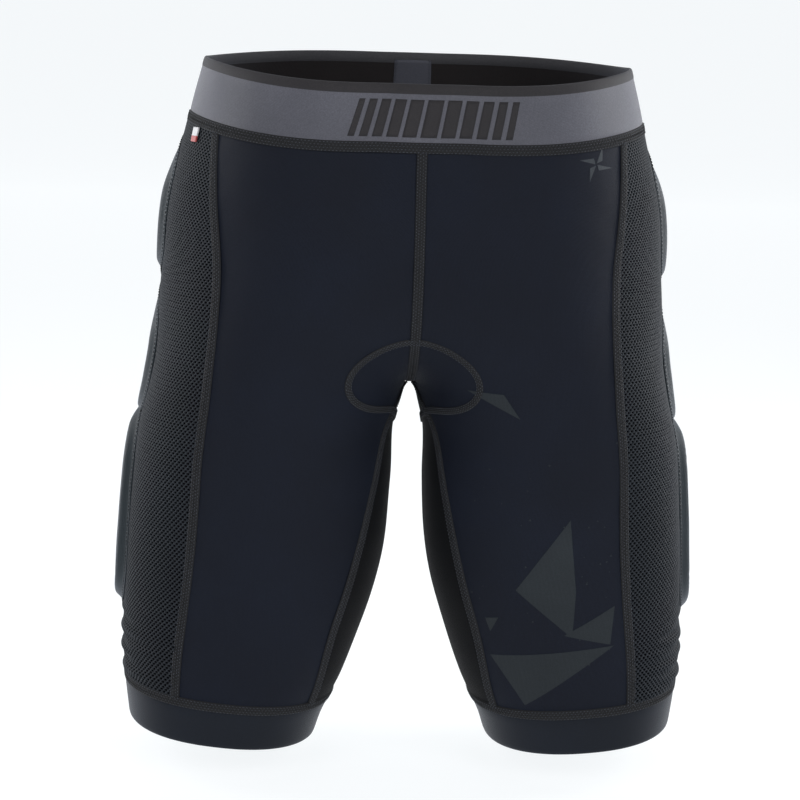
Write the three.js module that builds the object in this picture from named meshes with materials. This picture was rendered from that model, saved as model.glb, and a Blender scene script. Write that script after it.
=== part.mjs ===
// Padded impact shorts: an elastic waistband, stretch panels, side mesh, impact pads with their foam
// cores and covers, a crotch seat pad, flatlock seams and gripper hems, as separate pieces.
// Millimetres, +Z up, -Y is the front, +X the wearer's left. The origin is the waist opening's centre.
import * as THREE from "three";

// ---- Driving dimensions ----
const WAIST_WIDTH = 305;
const WAIST_DEPTH = 198;
const HIP_WIDTH = 352;
const HIP_FRONT = 107;
const HIP_BACK = 124;
const THIGH_SPREAD = 416;      // over both thighs, at their widest
const HEM_SPREAD = 408;        // over both hems
const HEM_GAP = 128;           // between the two hems
const HEM_DEPTH = 150;
const RISE = 229;              // waistband edge down to the crotch
const INSEAM = 262;            // crotch down to the hem
const BAND_HEIGHT = 38;
const BAND_THICKNESS = 1.8;
const PANEL_THICKNESS = 1.2;
const MESH_THICKNESS = 2.2;
const SEAM_WIDTH = 6;
const SEAM_THICKNESS = 2.6;
const HEM_HEIGHT = 27;
const HEM_THICKNESS = 1.8;
const GRIPPER_HEIGHT = 14;
const GRIPPER_THICKNESS = 0.8;
const CORE_THICKNESS = 6.5;    // foam of the hip and thigh pads
const COVER_THICKNESS = 1;
const COVER_SKIRT = 5;         // how far a pad cover runs past its foam
const TAIL_CORE_THICKNESS = 6;
const SEAT_FOAM_THICKNESS = 7;
const CLEARANCE = 0.4;         // between touching pieces
const FRONT_DIP = 15;          // the waist edge is lower in front than at the sides
const BACK_RISE = 7;           // and higher behind
const HEM_SLOPE = 0.1;         // the hems rise outwards

const TAG_WIDTH = 9;
const TAG_LENGTH = 11;
const TAG_THICKNESS = 1;
const TAG_FORWARD = 52;        // from the side line to the tag, round the wearer's right hip
const LABEL_WIDTH = 28;
const LABEL_HEIGHT = 24;
const LABEL_THICKNESS = 0.6;

// Pads, in pairs on the side mesh: heights below the waist edge, and reach before and behind the side line.
const SIDE_PADS = [
  { name: "hip_pad", top: 62, bottom: 152, ahead: 22, behind: 66 },
  { name: "thigh_pad_upper", top: 168, bottom: 243, ahead: 22, behind: 62 },
  { name: "thigh_pad_lower", top: 257, bottom: 408, ahead: 20, behind: 56 },
];
const PAD_END_TAPER = 0.16;    // share of its width that a side pad loses at its ends
const PAD_SEAT = 0.9;          // a side pad's foam lies this far off the mesh
const TAIL_PAD = { top: 82, bottom: 158, half: 34 };

// Foam is a slab whose edge is thinner than its middle.
const EDGE_SHARE = 0.45;       // foam thickness at its edge, of that in the middle
const COVER_GAP = 0.7;         // between the foam and its cover

// Seat pad: [distance along the crotch line from its lowest point, half width], from in front of the
// crotch, under it and up behind.
const SEAT_OUTLINE = [[-106, 8], [-96, 36], [-80, 52], [-58, 56], [-36, 48], [-8, 40], [40, 50], [90, 58],
  [112, 42], [123, 10]];
const SEAT_DROP = 7;           // the seat pad's foam lies this far under the outer face

const SEAM_RIDGE = 0.7;        // how far a flatlock seam stands proud of the cloth

const OVAL_POWER = 2.25;       // sections are slightly squarer than ellipses
const CROTCH_ROUND = 80;
const LEG_BLEND = 14;
const TORSO_BLEND = 26;
const REAR_SEAM_SHARE = 0.9;   // an inner-leg rear seam's reach, of the front seam's
const FORK_DROP = 17;          // how far the two blends lower the crotch below the torso's own floor

const TOTAL = RISE + INSEAM;
const SEAM_TOP = BAND_HEIGHT + CLEARANCE;
const PANEL_TOP = SEAM_TOP + SEAM_WIDTH + CLEARANCE;
const HEM_TOP = TOTAL - HEM_HEIGHT;
const PANEL_BOTTOM = HEM_TOP - SEAM_WIDTH - 2 * CLEARANCE;
const SEAM_HALF = SEAM_WIDTH / 2;
const PANEL_EDGE = SEAM_HALF + CLEARANCE;
const TAIL_SEAT = SEAM_THICKNESS - SEAM_RIDGE + 2 * CLEARANCE;
const TAG_PROUD = SEAM_RIDGE + CLEARANCE / 2;

// ---- Small tools ----
const clamp = (t) => Math.min(1, Math.max(0, t));
const ease = (t) => clamp(t) ** 2 * (3 - 2 * clamp(t));
const mix = (a, b, t) => a + (b - a) * t;

// A smooth curve through [depth below the waist edge, value] points.
function profile(points) {
  const slope = (i) => {
    const a = points[Math.max(0, i - 1)], b = points[Math.min(points.length - 1, i + 1)];
    return (b[1] - a[1]) / (b[0] - a[0]);
  };
  return (depth) => {
    const last = points.length - 1;
    if (depth <= points[0][0]) return points[0][1];
    if (depth >= points[last][0]) return points[last][1];
    let i = 0;
    while (depth > points[i + 1][0]) i++;
    const [x0, y0] = points[i], [x1, y1] = points[i + 1];
    const h = x1 - x0, t = (depth - x0) / h;
    const bulge = t * (1 - t) * ((1 - t) * (slope(i) * h - (y1 - y0)) - t * (slope(i + 1) * h - (y1 - y0)));
    return mix(y0, y1, t) + bulge;
  };
}

function smoothMin(a, b, radius) {
  const h = Math.max(radius - Math.abs(a - b), 0) / radius;
  return Math.min(a, b) - (h * h * radius) / 4;
}

// ---- The garment's outer face, as a distance that is negative inside ----
const halfSpread = profile([
  [0, WAIST_WIDTH / 2],
  [BAND_HEIGHT, WAIST_WIDTH / 2 + 10],
  [RISE * 0.4, HIP_WIDTH / 2 - 4],
  [RISE * 0.66, HIP_WIDTH / 2],
  [RISE, mix(HIP_WIDTH, THIGH_SPREAD, 0.43) / 2],
  [RISE + INSEAM * 0.22, mix(HIP_WIDTH, THIGH_SPREAD, 0.78) / 2],
  [RISE + INSEAM * 0.62, THIGH_SPREAD / 2],
  [RISE + INSEAM * 0.8, THIGH_SPREAD / 2 + 1],
  [TOTAL, HEM_SPREAD / 2],
]);
const halfGap = profile([
  [0, -70],
  [RISE * 0.6, -42],
  [RISE - 9, 0],
  [RISE + INSEAM * 0.07, 7],
  [RISE + INSEAM * 0.14, 11],
  [RISE + INSEAM * 0.28, 11.5],
  [RISE + INSEAM * 0.42, 14],
  [RISE + INSEAM * 0.55, 20],
  [RISE + INSEAM * 0.68, 31],
  [RISE + INSEAM * 0.82, 44],
  [RISE + INSEAM * 0.93, HEM_GAP / 2 - 6],
  [TOTAL, HEM_GAP / 2],
]);
const frontReach = profile([
  [0, WAIST_DEPTH / 2],
  [RISE * 0.25, mix(WAIST_DEPTH / 2, HIP_FRONT, 0.7)],
  [RISE * 0.6, HIP_FRONT],
  [RISE, HIP_FRONT - 7],
  [RISE + INSEAM * 0.5, mix(HIP_FRONT, HEM_DEPTH / 2, 0.7)],
  [TOTAL, HEM_DEPTH / 2 + 2],
]);
const backReach = profile([
  [0, WAIST_DEPTH / 2],
  [RISE * 0.25, mix(WAIST_DEPTH / 2, HIP_BACK, 0.4)],
  [RISE * 0.65, HIP_BACK],
  [RISE, HIP_BACK - 10],
  [RISE + INSEAM * 0.5, mix(HIP_BACK, HEM_DEPTH / 2, 0.75)],
  [TOTAL, HEM_DEPTH / 2 - 2],
]);

function oval(x, y, halfX, front, back) {
  const cy = (back - front) / 2, halfY = (back + front) / 2;
  const rho = Math.hypot(x, y - cy);
  const u = Math.abs(x) / halfX, v = Math.abs(y - cy) / halfY;
  const r = (u ** OVAL_POWER + v ** OVAL_POWER) ** (1 / OVAL_POWER);
  return r < 1e-6 ? -Math.min(halfX, halfY) : rho - rho / r;
}

const legCentre = (depth) => (halfSpread(depth) + halfGap(depth)) / 2;
const middleY = (depth) => (backReach(depth) - frontReach(depth)) / 2;

function distance(x, y, z) {
  const depth = -z;
  const spread = halfSpread(depth), front = frontReach(depth), back = backReach(depth);
  const centre = legCentre(depth), halfX = spread - centre;
  const left = oval(x - centre, y, halfX, front, back);
  const right = oval(x + centre, y, halfX, front, back);
  const legs = smoothMin(left, right, LEG_BLEND);
  const walls = oval(x, y, spread, front, back);
  const floor = depth - (RISE - FORK_DROP);
  const torso = -smoothMin(-walls, -floor, CROTCH_ROUND);
  // They are one surface at the waistband, and blend more and more below it.
  const blend = mix(1, TORSO_BLEND, ease((depth - BAND_HEIGHT) / (RISE * 0.4)));
  return smoothMin(legs, torso, blend);
}

function normalAt(p) {
  const e = 0.05;
  return new THREE.Vector3(
    distance(p.x + e, p.y, p.z) - distance(p.x - e, p.y, p.z),
    distance(p.x, p.y + e, p.z) - distance(p.x, p.y - e, p.z),
    distance(p.x, p.y, p.z + e) - distance(p.x, p.y, p.z - e),
  ).normalize();
}

// The point where a level ray leaves the garment. A ray that is still inside at the middle plane ends
// just past it.
function castOut(x, y, angle, z) {
  const dx = Math.cos(angle), dy = Math.sin(angle);
  const beyond = HIP_WIDTH;
  let near = 0, far = x > 0 && dx * beyond < -x ? -x / dx + 0.01 : beyond;
  for (let i = 0; i < 32; i++) {
    const middle = (near + far) / 2;
    if (distance(x + dx * middle, y + dy * middle, z) < 0) near = middle;
    else far = middle;
  }
  return new THREE.Vector3(x + dx * near, y + dy * near, z);
}

// Sinks a point onto the outer face along the surface normal.
function settle(p) {
  const q = p.clone();
  for (let i = 0; i < 6; i++) q.addScaledVector(normalAt(q), -distance(q.x, q.y, q.z));
  return q;
}

// The waist edge dips in front and rises behind, and the hems slope.
function drape(p) {
  const atWaist = ease((RISE * 0.7 + p.z) / (RISE * 0.6));
  const reach = p.y < 0 ? -FRONT_DIP * (p.y / frontReach(0)) ** 2 : BACK_RISE * (p.y / backReach(0)) ** 2;
  const atHem = ease((-p.z - RISE) / INSEAM);
  const slope = HEM_SLOPE * (Math.abs(p.x) - legCentre(TOTAL));
  return new THREE.Vector3(p.x, p.y, p.z + reach * atWaist + slope * atHem);
}

// ---- Level sections of one half, from the side line forwards or backwards ----
const SECTION_STEPS = 90;
const sectionCache = new Map();

// way is 1 for the front curve and -1 for the back one. Each curve ends on the middle plane above the
// crotch, and at the innermost point of the leg below it.
function section(depth, way) {
  const key = depth + "/" + way;
  if (sectionCache.has(key)) return sectionCache.get(key);
  const x = legCentre(depth), y = middleY(depth);
  const points = [];
  for (let i = 0; i <= SECTION_STEPS; i++) {
    const p = castOut(x, y, (-way * Math.PI * i) / SECTION_STEPS, -depth);
    if (p.x < 0) {
      points.push(castOut(0, y, (-way * Math.PI) / 2, -depth));
      break;
    }
    points.push(p);
  }
  const arc = [0];
  for (let i = 1; i < points.length; i++) arc.push(arc[i - 1] + points[i].distanceTo(points[i - 1]));
  const made = { points, arc, length: arc[arc.length - 1] };
  sectionCache.set(key, made);
  return made;
}

// A point a given way round a half's section: positive reach is forwards of the side line.
function around(depth, reach) {
  const { points, arc } = section(depth, reach < 0 ? -1 : 1);
  const s = Math.abs(reach);
  let i = 0;
  while (i < arc.length - 2 && arc[i + 1] < s) i++;
  const t = (s - arc[i]) / (arc[i + 1] - arc[i]);
  return points[i].clone().lerp(points[i + 1], t);
}

// The reach at which the section's front or back curve passes a given x.
function reachAtX(depth, way, x) {
  const { points, arc } = section(depth, way);
  let i = 0;
  while (i < points.length - 2 && points[i + 1].x > x) i++;
  const t = clamp((points[i].x - x) / (points[i].x - points[i + 1].x));
  return way * mix(arc[i], arc[i + 1], t);
}

// ---- Seam lines, as reaches round a half ----
const sideSeamShare = profile([
  [PANEL_TOP, 0.86],
  [RISE * 0.6, 0.79],
  [RISE * 1.15, 0.752],
  [RISE + INSEAM * 0.45, 0.752],
  [TOTAL, 0.81],
]);
const FORK = RISE + 3;         // where the inner-leg panels begin
const innerSeamReach = profile([
  [FORK, 9],
  [FORK + 24, 44],
  [RISE + INSEAM * 0.55, 66],
  [TOTAL, 50],
]);
const sideFront = (depth) => reachAtX(depth, 1, halfSpread(depth) * sideSeamShare(depth));
const sideRear = (depth) => reachAtX(depth, -1, halfSpread(depth) * (sideSeamShare(depth) - 0.06));
const frontMiddle = (depth) => section(depth, 1).length;
const backMiddle = (depth) => -section(depth, -1).length;
const innerFront = (depth) => frontMiddle(depth) - innerSeamReach(depth);
const innerRear = (depth) => backMiddle(depth) + innerSeamReach(depth) * REAR_SEAM_SHARE;
const overFork = (depth) => depth < FORK - 2;
const frontEdge = (depth) => (overFork(depth) ? frontMiddle(depth) : innerFront(depth));
const backEdge = (depth) => (overFork(depth) ? backMiddle(depth) : innerRear(depth));

// ---- Solids from grids of surface points ----
const onFace = (p) => ({ p, n: normalAt(p) });
const offsetFrom = (v, out) => drape(v.p.clone().addScaledVector(v.n, out));

// A closed slab between two offsets of a grid of surface points. An offset is a number or (row, column)
// => number. A ring joins the last column to the first.
function slab(grid, outer, inner, ring = false) {
  const rows = grid.length, cols = grid[0].length;
  const at = (offset, i, j) => (typeof offset === "number" ? offset : offset(i, j));
  const positions = [];
  for (const offset of [outer, inner])
    grid.forEach((row, i) => row.forEach((v, j) => positions.push(...offsetFrom(v, at(offset, i, j)))));
  const top = (i, j) => i * cols + (j % cols);
  const under = (i, j) => rows * cols + top(i, j);
  const faces = [];
  const quad = (a, b, c, d) => faces.push(a, b, c, a, c, d);
  const lastCol = ring ? cols : cols - 1;
  for (let i = 0; i < rows - 1; i++)
    for (let j = 0; j < lastCol; j++) {
      quad(top(i, j), top(i + 1, j), top(i + 1, j + 1), top(i, j + 1));
      quad(under(i, j), under(i, j + 1), under(i + 1, j + 1), under(i + 1, j));
    }
  for (let j = 0; j < lastCol; j++) {
    quad(top(0, j), top(0, j + 1), under(0, j + 1), under(0, j));
    quad(top(rows - 1, j + 1), top(rows - 1, j), under(rows - 1, j), under(rows - 1, j + 1));
  }
  if (!ring)
    for (let i = 0; i < rows - 1; i++) {
      quad(top(i + 1, 0), top(i, 0), under(i, 0), under(i + 1, 0));
      quad(top(i, cols - 1), top(i + 1, cols - 1), under(i + 1, cols - 1), under(i, cols - 1));
    }
  return closed(positions, faces);
}

// Turns the faces outwards, whichever way the grid ran.
function closed(positions, faces) {
  const a = new THREE.Vector3(), b = new THREE.Vector3(), c = new THREE.Vector3();
  let volume = 0;
  for (let i = 0; i < faces.length; i += 3) {
    a.fromArray(positions, 3 * faces[i]);
    b.fromArray(positions, 3 * faces[i + 1]);
    c.fromArray(positions, 3 * faces[i + 2]);
    volume += a.dot(b.cross(c));
  }
  if (volume < 0)
    for (let i = 0; i < faces.length; i += 3) [faces[i + 1], faces[i + 2]] = [faces[i + 2], faces[i + 1]];
  const geometry = new THREE.BufferGeometry();
  geometry.setAttribute("position", new THREE.Float32BufferAttribute(positions, 3));
  return geometry.setIndex(faces);
}

// ---- Materials ----
const cloth = (color, roughness) => new THREE.MeshStandardMaterial({ color, roughness, metalness: 0 });
const NAVY = cloth(0x1f232e, 0.75);
const BLACK = cloth(0x121417, 0.8);
const MESH_GREY = cloth(0x33383b, 0.9);
const PAD_GREY = cloth(0x494f55, 0.6);
const BAND_GREY = cloth(0x626268, 0.55);
const HEM_GREY = cloth(0x2a3036, 0.65);
const THREAD = cloth(0x2c3038, 0.8);
const FOAM = cloth(0x2f3a46, 0.95);
const SILICONE = cloth(0x3c4046, 0.4);
const RIBBON = cloth(0xc8c8cc, 0.7);

const shorts = new THREE.Group();

function add(name, geometry, material) {
  const mesh = new THREE.Mesh(geometry, material);
  mesh.name = name;
  shorts.add(mesh);
}

// Adds the wearer's left piece and its mirror image.
function addPair(name, geometry, material) {
  add(name + "_left", geometry, material);
  const mirrored = geometry.clone().scale(-1, 1, 1);
  const faces = [...mirrored.index.array];
  for (let i = 0; i < faces.length; i += 3) [faces[i + 1], faces[i + 2]] = [faces[i + 2], faces[i + 1]];
  add(name + "_right", mirrored.setIndex(faces), material);
}

// ---- Grids ----
// Heights shared by every panel and upright seam: even steps, with more of them round the crotch.
const LEVELS = (() => {
  const span = (from, to, count) =>
    Array.from({ length: count }, (_, i) => mix(from, to, i / count));
  return [
    ...span(PANEL_TOP, RISE - 26, 8),
    ...span(RISE - 26, FORK + 18, 5),
    ...span(FORK + 18, PANEL_BOTTOM, 10),
    PANEL_BOTTOM,
  ];
})();

const grid = (levels, from, to, columns) =>
  levels.map((depth) =>
    Array.from({ length: columns + 1 }, (_, j) => {
      return onFace(around(depth, mix(from(depth), to(depth), j / columns)));
    }),
  );

function panel(from, to, columns, levels, thickness) {
  const start = (depth) => from(depth) - PANEL_EDGE;
  const end = (depth) => to(depth) + PANEL_EDGE;
  return slab(grid(levels, start, end, columns), 0, -thickness);
}

function seamAlong(reach, levels) {
  const lines = grid(levels, (d) => reach(d) + SEAM_HALF, (d) => reach(d) - SEAM_HALF, 1);
  return slab(lines, SEAM_RIDGE, SEAM_RIDGE - SEAM_THICKNESS);
}

// A ring round the waist or round one leg, as rows of points at the given depths.
function ringGrid(depths, columns, centreX) {
  return depths.map((depth) =>
    Array.from({ length: columns }, (_, j) =>
      onFace(castOut(centreX(depth), middleY(depth), (2 * Math.PI * j) / columns, -depth)),
    ),
  );
}

const WAIST_COLUMNS = 48;
const LEG_COLUMNS = 32;

function waistPieces() {
  const depths = [0, 0.5, 1].map((t) => t * BAND_HEIGHT);
  add("waistband", slab(ringGrid(depths, WAIST_COLUMNS, () => 0), 0, -BAND_THICKNESS, true), BAND_GREY);
  const seam = ringGrid([SEAM_TOP, SEAM_TOP + SEAM_WIDTH], WAIST_COLUMNS, () => 0);
  add("waist_seam", slab(seam, SEAM_RIDGE, SEAM_RIDGE - SEAM_THICKNESS, true), THREAD);
  const label = [0, 1].map((t) =>
    [-0.5, 0, 0.5].map((u) => {
      const depth = (BAND_HEIGHT - LABEL_HEIGHT) / 2 + LABEL_HEIGHT * t;
      const angle = Math.PI / 2 + (LABEL_WIDTH * u) / backReach(depth);
      return onFace(castOut(0, middleY(depth), angle, -depth));
    }),
  );
  const under = -BAND_THICKNESS - CLEARANCE;
  add("waistband_label", slab(label, under, under - LABEL_THICKNESS), BLACK);
}

function panelPieces() {
  const belowFork = LEVELS.filter((depth) => depth > FORK);
  addPair("front_panel", panel(frontEdge, sideFront, 8, LEVELS, PANEL_THICKNESS), NAVY);
  addPair("side_mesh", panel(sideFront, sideRear, 7, LEVELS, MESH_THICKNESS), MESH_GREY);
  addPair("back_panel", panel(sideRear, backEdge, 8, LEVELS, PANEL_THICKNESS), NAVY);
  addPair("inner_leg_panel", innerPanel(belowFork), BLACK);
}

// The inner-leg panel runs round the leg's innermost point, from the front seam to the rear one.
function innerPanel(levels) {
  const columns = 3;
  const rows = levels.map((depth) => {
    const front = innerSeamReach(depth) - PANEL_EDGE;
    const rear = innerSeamReach(depth) * REAR_SEAM_SHARE - PANEL_EDGE;
    const reaches = [];
    for (let j = 0; j < columns; j++) reaches.push(frontMiddle(depth) - front * (1 - j / columns));
    for (let j = 0; j <= columns; j++) reaches.push(backMiddle(depth) + (rear * j) / columns);
    return reaches.map((reach) => onFace(around(depth, reach)));
  });
  return slab(rows, 0, -PANEL_THICKNESS);
}

function seamPieces() {
  const upright = LEVELS.filter((depth) => depth < RISE - 1);
  const belowFork = LEVELS.filter((depth) => depth > FORK);
  addPair("side_front_seam", seamAlong(sideFront, LEVELS), THREAD);
  addPair("side_rear_seam", seamAlong(sideRear, LEVELS), THREAD);
  addPair("inner_front_seam", seamAlong(innerFront, belowFork), THREAD);
  addPair("inner_rear_seam", seamAlong(innerRear, belowFork), THREAD);
  for (const [name, way] of [["front_seam", 1], ["back_seam", -1]]) {
    const lines = upright.map((depth) => {
      const middle = way * section(depth, way).length;
      const p = around(depth, middle - way * SEAM_HALF);
      return [onFace(p), onFace(new THREE.Vector3(-p.x, p.y, p.z))];
    });
    add(name, slab(lines, SEAM_RIDGE, SEAM_RIDGE - SEAM_THICKNESS), THREAD);
  }
}

function hemPieces() {
  const seamTop = PANEL_BOTTOM + CLEARANCE;
  const seam = ringGrid([seamTop, seamTop + SEAM_WIDTH], LEG_COLUMNS, legCentre);
  addPair("hem_seam", slab(seam, SEAM_RIDGE, SEAM_RIDGE - SEAM_THICKNESS, true), THREAD);
  const band = ringGrid([HEM_TOP, TOTAL], LEG_COLUMNS, legCentre);
  addPair("hem_band", slab(band, 0, -HEM_THICKNESS, true), HEM_GREY);
  const gripTop = TOTAL - (HEM_HEIGHT + GRIPPER_HEIGHT) / 2;
  const grip = ringGrid([gripTop, gripTop + GRIPPER_HEIGHT], LEG_COLUMNS, legCentre);
  const under = -HEM_THICKNESS - CLEARANCE;
  addPair("hem_gripper", slab(grip, under, under - GRIPPER_THICKNESS, true), SILICONE);
}

// ---- Pads ----
// A cover follows its foam, and its skirt comes down to the cloth all round.

function padPair(rows, cols, pointAt, thickness, base, way) {
  const onEdge = (i, j) => i === 0 || j === 0 || i === rows || j === cols;
  const height = (i, j) => thickness * (onEdge(i, j) ? EDGE_SHARE : 1);
  const make = (count, spread) =>
    Array.from({ length: rows + 1 + 2 * count }, (_, i) =>
      Array.from({ length: cols + 1 + 2 * count }, (_, j) => onFace(pointAt(i - count, j - count, spread))),
    );
  const foam = slab(make(0, 0), (i, j) => way * (base + height(i, j)), way * base);
  const inside = (i, j) => {
    const skirt = i === 0 || j === 0 || i === rows + 2 || j === cols + 2;
    return skirt ? base : base + height(i - 1, j - 1) + COVER_GAP;
  };
  const cover = slab(
    make(1, COVER_SKIRT),
    (i, j) => way * (inside(i, j) + COVER_THICKNESS),
    (i, j) => way * inside(i, j),
  );
  return [foam, cover];
}

// A grid line at -1 or past the last one belongs to the skirt: it lies a skirt's width further out, and
// the edge lines of a cover move out by a clearance.
function along(low, high, k, count, skirt) {
  if (k < 0) return low - skirt;
  if (k > count) return high + skirt;
  const margin = skirt ? COVER_GAP * Math.sign(high - low) : 0;
  return mix(low - margin, high + margin, k / count);
}

function padPieces() {
  for (const pad of SIDE_PADS) {
    const rows = Math.round((pad.bottom - pad.top) / 20) + 1, cols = 5;
    const pointAt = (i, j, skirt) => {
      const depth = along(pad.top, pad.bottom, i, rows, skirt);
      const end = Math.abs((2 * (depth - pad.top)) / (pad.bottom - pad.top) - 1);
      const taper = 1 - PAD_END_TAPER * end ** 4;
      return around(depth, along(pad.ahead * taper, -pad.behind * taper, j, cols, -skirt));
    };
    const [foam, cover] = padPair(rows, cols, pointAt, CORE_THICKNESS, PAD_SEAT, 1);
    addPair(pad.name + "_core", foam, FOAM);
    addPair(pad.name + "_cover", cover, PAD_GREY);
  }
  const rows = 4, cols = 4;
  const pointAt = (i, j, skirt) => {
    const depth = along(TAIL_PAD.top, TAIL_PAD.bottom, i, rows, skirt);
    const across = along(-TAIL_PAD.half, TAIL_PAD.half, j, cols, skirt);
    const p = around(depth, backMiddle(depth) + Math.abs(across));
    return new THREE.Vector3(Math.sign(across) * p.x, p.y, p.z);
  };
  const [foam, cover] = padPair(rows, cols, pointAt, TAIL_CORE_THICKNESS, TAIL_SEAT, -1);
  add("tailbone_pad_core", foam, FOAM);
  add("tailbone_pad_cover", cover, BLACK);
}

// ---- Seat pad ----
// Steps along the outer face from p in direction d, keeping to the surface.
function walk(p, d, length) {
  const steps = Math.max(1, Math.ceil(length / 3));
  const q = p.clone(), heading = d.clone();
  for (let i = 0; i < steps; i++) {
    const n = normalAt(q);
    heading.addScaledVector(n, -heading.dot(n)).normalize();
    q.copy(settle(q.addScaledVector(heading, length / steps)));
  }
  return q;
}

function seatPieces() {
  const low = settle(new THREE.Vector3(0, middleY(RISE), -RISE));
  const rows = 14, cols = 6;
  const halfWidth = profile(SEAT_OUTLINE);
  const [front, back] = [SEAT_OUTLINE[0][0], SEAT_OUTLINE.at(-1)[0]];
  const foamGrid = Array.from({ length: rows + 1 }, (_, i) => {
    const s = mix(front, back, i / rows);
    const middle = walk(low, new THREE.Vector3(0, Math.sign(s), 0), Math.abs(s));
    return Array.from({ length: cols + 1 }, (_, j) => {
      const u = (2 * j) / cols - 1;
      const reach = Math.abs(u) * halfWidth(s);
      if (!reach) return onFace(middle);
      return onFace(walk(middle, new THREE.Vector3(Math.sign(u), 0, 0), reach));
    });
  });
  const onEdge = (i, j) => i === 0 || j === 0 || i === rows || j === cols;
  const top = -SEAT_DROP;
  const foamDepth = (i, j) => top - SEAT_FOAM_THICKNESS * (onEdge(i, j) ? EDGE_SHARE : 1);
  add("seat_pad_foam", slab(foamGrid, top, foamDepth), FOAM);
  const face = (i, j) => foamDepth(i, j) - CLEARANCE;
  add("seat_pad_cover", slab(foamGrid, face, (i, j) => face(i, j) - COVER_THICKNESS), BLACK);
}

// ---- Side tag ----
// A folded ribbon that hangs from the waist seam over the wearer's right hip.
function tagPiece() {
  const depth = PANEL_TOP;
  const seat = around(depth, TAG_FORWARD);
  seat.x = -seat.x;
  const out = normalAt(seat);
  const top = offsetFrom({ p: seat, n: out }, TAG_PROUD);
  const across = new THREE.Vector3(-out.y, out.x, 0).normalize();
  const up = new THREE.Vector3().crossVectors(out, across);
  const geometry = new THREE.BoxGeometry(TAG_THICKNESS, TAG_WIDTH, TAG_LENGTH);
  geometry.translate(TAG_THICKNESS / 2, 0, -TAG_LENGTH / 2);
  geometry.applyMatrix4(new THREE.Matrix4().makeBasis(out, across, up));
  geometry.translate(top.x, top.y, top.z);
  add("side_tag", geometry, RIBBON);
}
waistPieces();
panelPieces();
seamPieces();
hemPieces();
padPieces();
seatPieces();
tagPiece();

export default shorts;
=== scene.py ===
# The looks of the padded impact shorts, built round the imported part. Blender 4.5.
# Lengths in this script are in millimetres, in the part's own frame, until put() makes them metres:
# -Y is the front, +X the wearer's left, and depth is measured down from the waist edge.
import math

import bpy
import numpy as np
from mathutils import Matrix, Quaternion, Vector


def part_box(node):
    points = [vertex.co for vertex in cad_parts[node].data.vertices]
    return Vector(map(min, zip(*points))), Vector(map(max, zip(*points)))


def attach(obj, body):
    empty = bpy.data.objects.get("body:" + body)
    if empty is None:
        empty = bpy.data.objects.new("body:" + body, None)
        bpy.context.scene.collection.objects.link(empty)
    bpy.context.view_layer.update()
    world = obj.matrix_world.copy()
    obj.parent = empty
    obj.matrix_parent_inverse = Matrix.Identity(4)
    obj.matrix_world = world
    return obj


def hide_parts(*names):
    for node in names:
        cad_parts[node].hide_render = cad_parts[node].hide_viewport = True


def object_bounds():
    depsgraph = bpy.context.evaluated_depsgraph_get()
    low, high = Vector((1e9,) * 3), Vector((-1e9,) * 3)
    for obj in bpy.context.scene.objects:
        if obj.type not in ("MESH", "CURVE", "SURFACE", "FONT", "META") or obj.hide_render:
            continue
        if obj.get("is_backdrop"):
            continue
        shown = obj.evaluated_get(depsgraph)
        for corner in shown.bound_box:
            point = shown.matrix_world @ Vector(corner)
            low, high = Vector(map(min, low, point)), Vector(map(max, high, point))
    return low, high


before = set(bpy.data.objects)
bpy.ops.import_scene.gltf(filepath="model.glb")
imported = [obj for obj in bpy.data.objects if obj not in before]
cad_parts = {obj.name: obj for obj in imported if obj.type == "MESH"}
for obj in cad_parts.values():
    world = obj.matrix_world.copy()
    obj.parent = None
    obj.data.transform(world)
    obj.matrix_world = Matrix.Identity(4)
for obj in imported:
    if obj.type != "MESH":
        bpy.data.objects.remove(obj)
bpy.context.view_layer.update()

MM = 0.001

# ---- The garment's sizes, as in the part's source ----
WAIST_WIDTH, WAIST_DEPTH = 305, 198
HIP_WIDTH, HIP_FRONT, HIP_BACK = 352, 107, 124
THIGH_SPREAD, HEM_SPREAD, HEM_GAP, HEM_DEPTH = 416, 408, 128, 150
RISE, INSEAM = 229, 262
TOTAL = RISE + INSEAM
BAND_HEIGHT, BAND_THICKNESS = 38, 1.8
PANEL_THICKNESS = 1.2
SEAM_WIDTH = 6
HEM_HEIGHT = 27
FRONT_DIP, BACK_RISE, HEM_SLOPE = 15, 7, 0.1
OVAL_POWER, CROTCH_ROUND, LEG_BLEND, TORSO_BLEND, FORK_DROP = 2.25, 80, 14, 26, 17
FORK = RISE + 3
CLEARANCE = 0.4
SEAM_TOP = BAND_HEIGHT + CLEARANCE
PANEL_TOP = SEAM_TOP + SEAM_WIDTH + CLEARANCE
HEM_TOP = TOTAL - HEM_HEIGHT
PANEL_BOTTOM = HEM_TOP - SEAM_WIDTH - 2 * CLEARANCE
LEFT, RIGHT = 1, -1
SIDES = ((LEFT, "_left"), (RIGHT, "_right"))
FRONT, BACK = 1, -1
REAR_SEAM_SHARE = 0.9          # of the inner-front seam's reach


def smooth(t):
    t = np.clip(t, 0, 1)
    return t * t * (3 - 2 * t)


def mix(a, b, t):
    return a + (b - a) * t


# ---- Profiles: smooth curves through [depth, value] points, kept as fine tables ----
DEPTHS = np.arange(-40, TOTAL + 40, 0.25)


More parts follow.
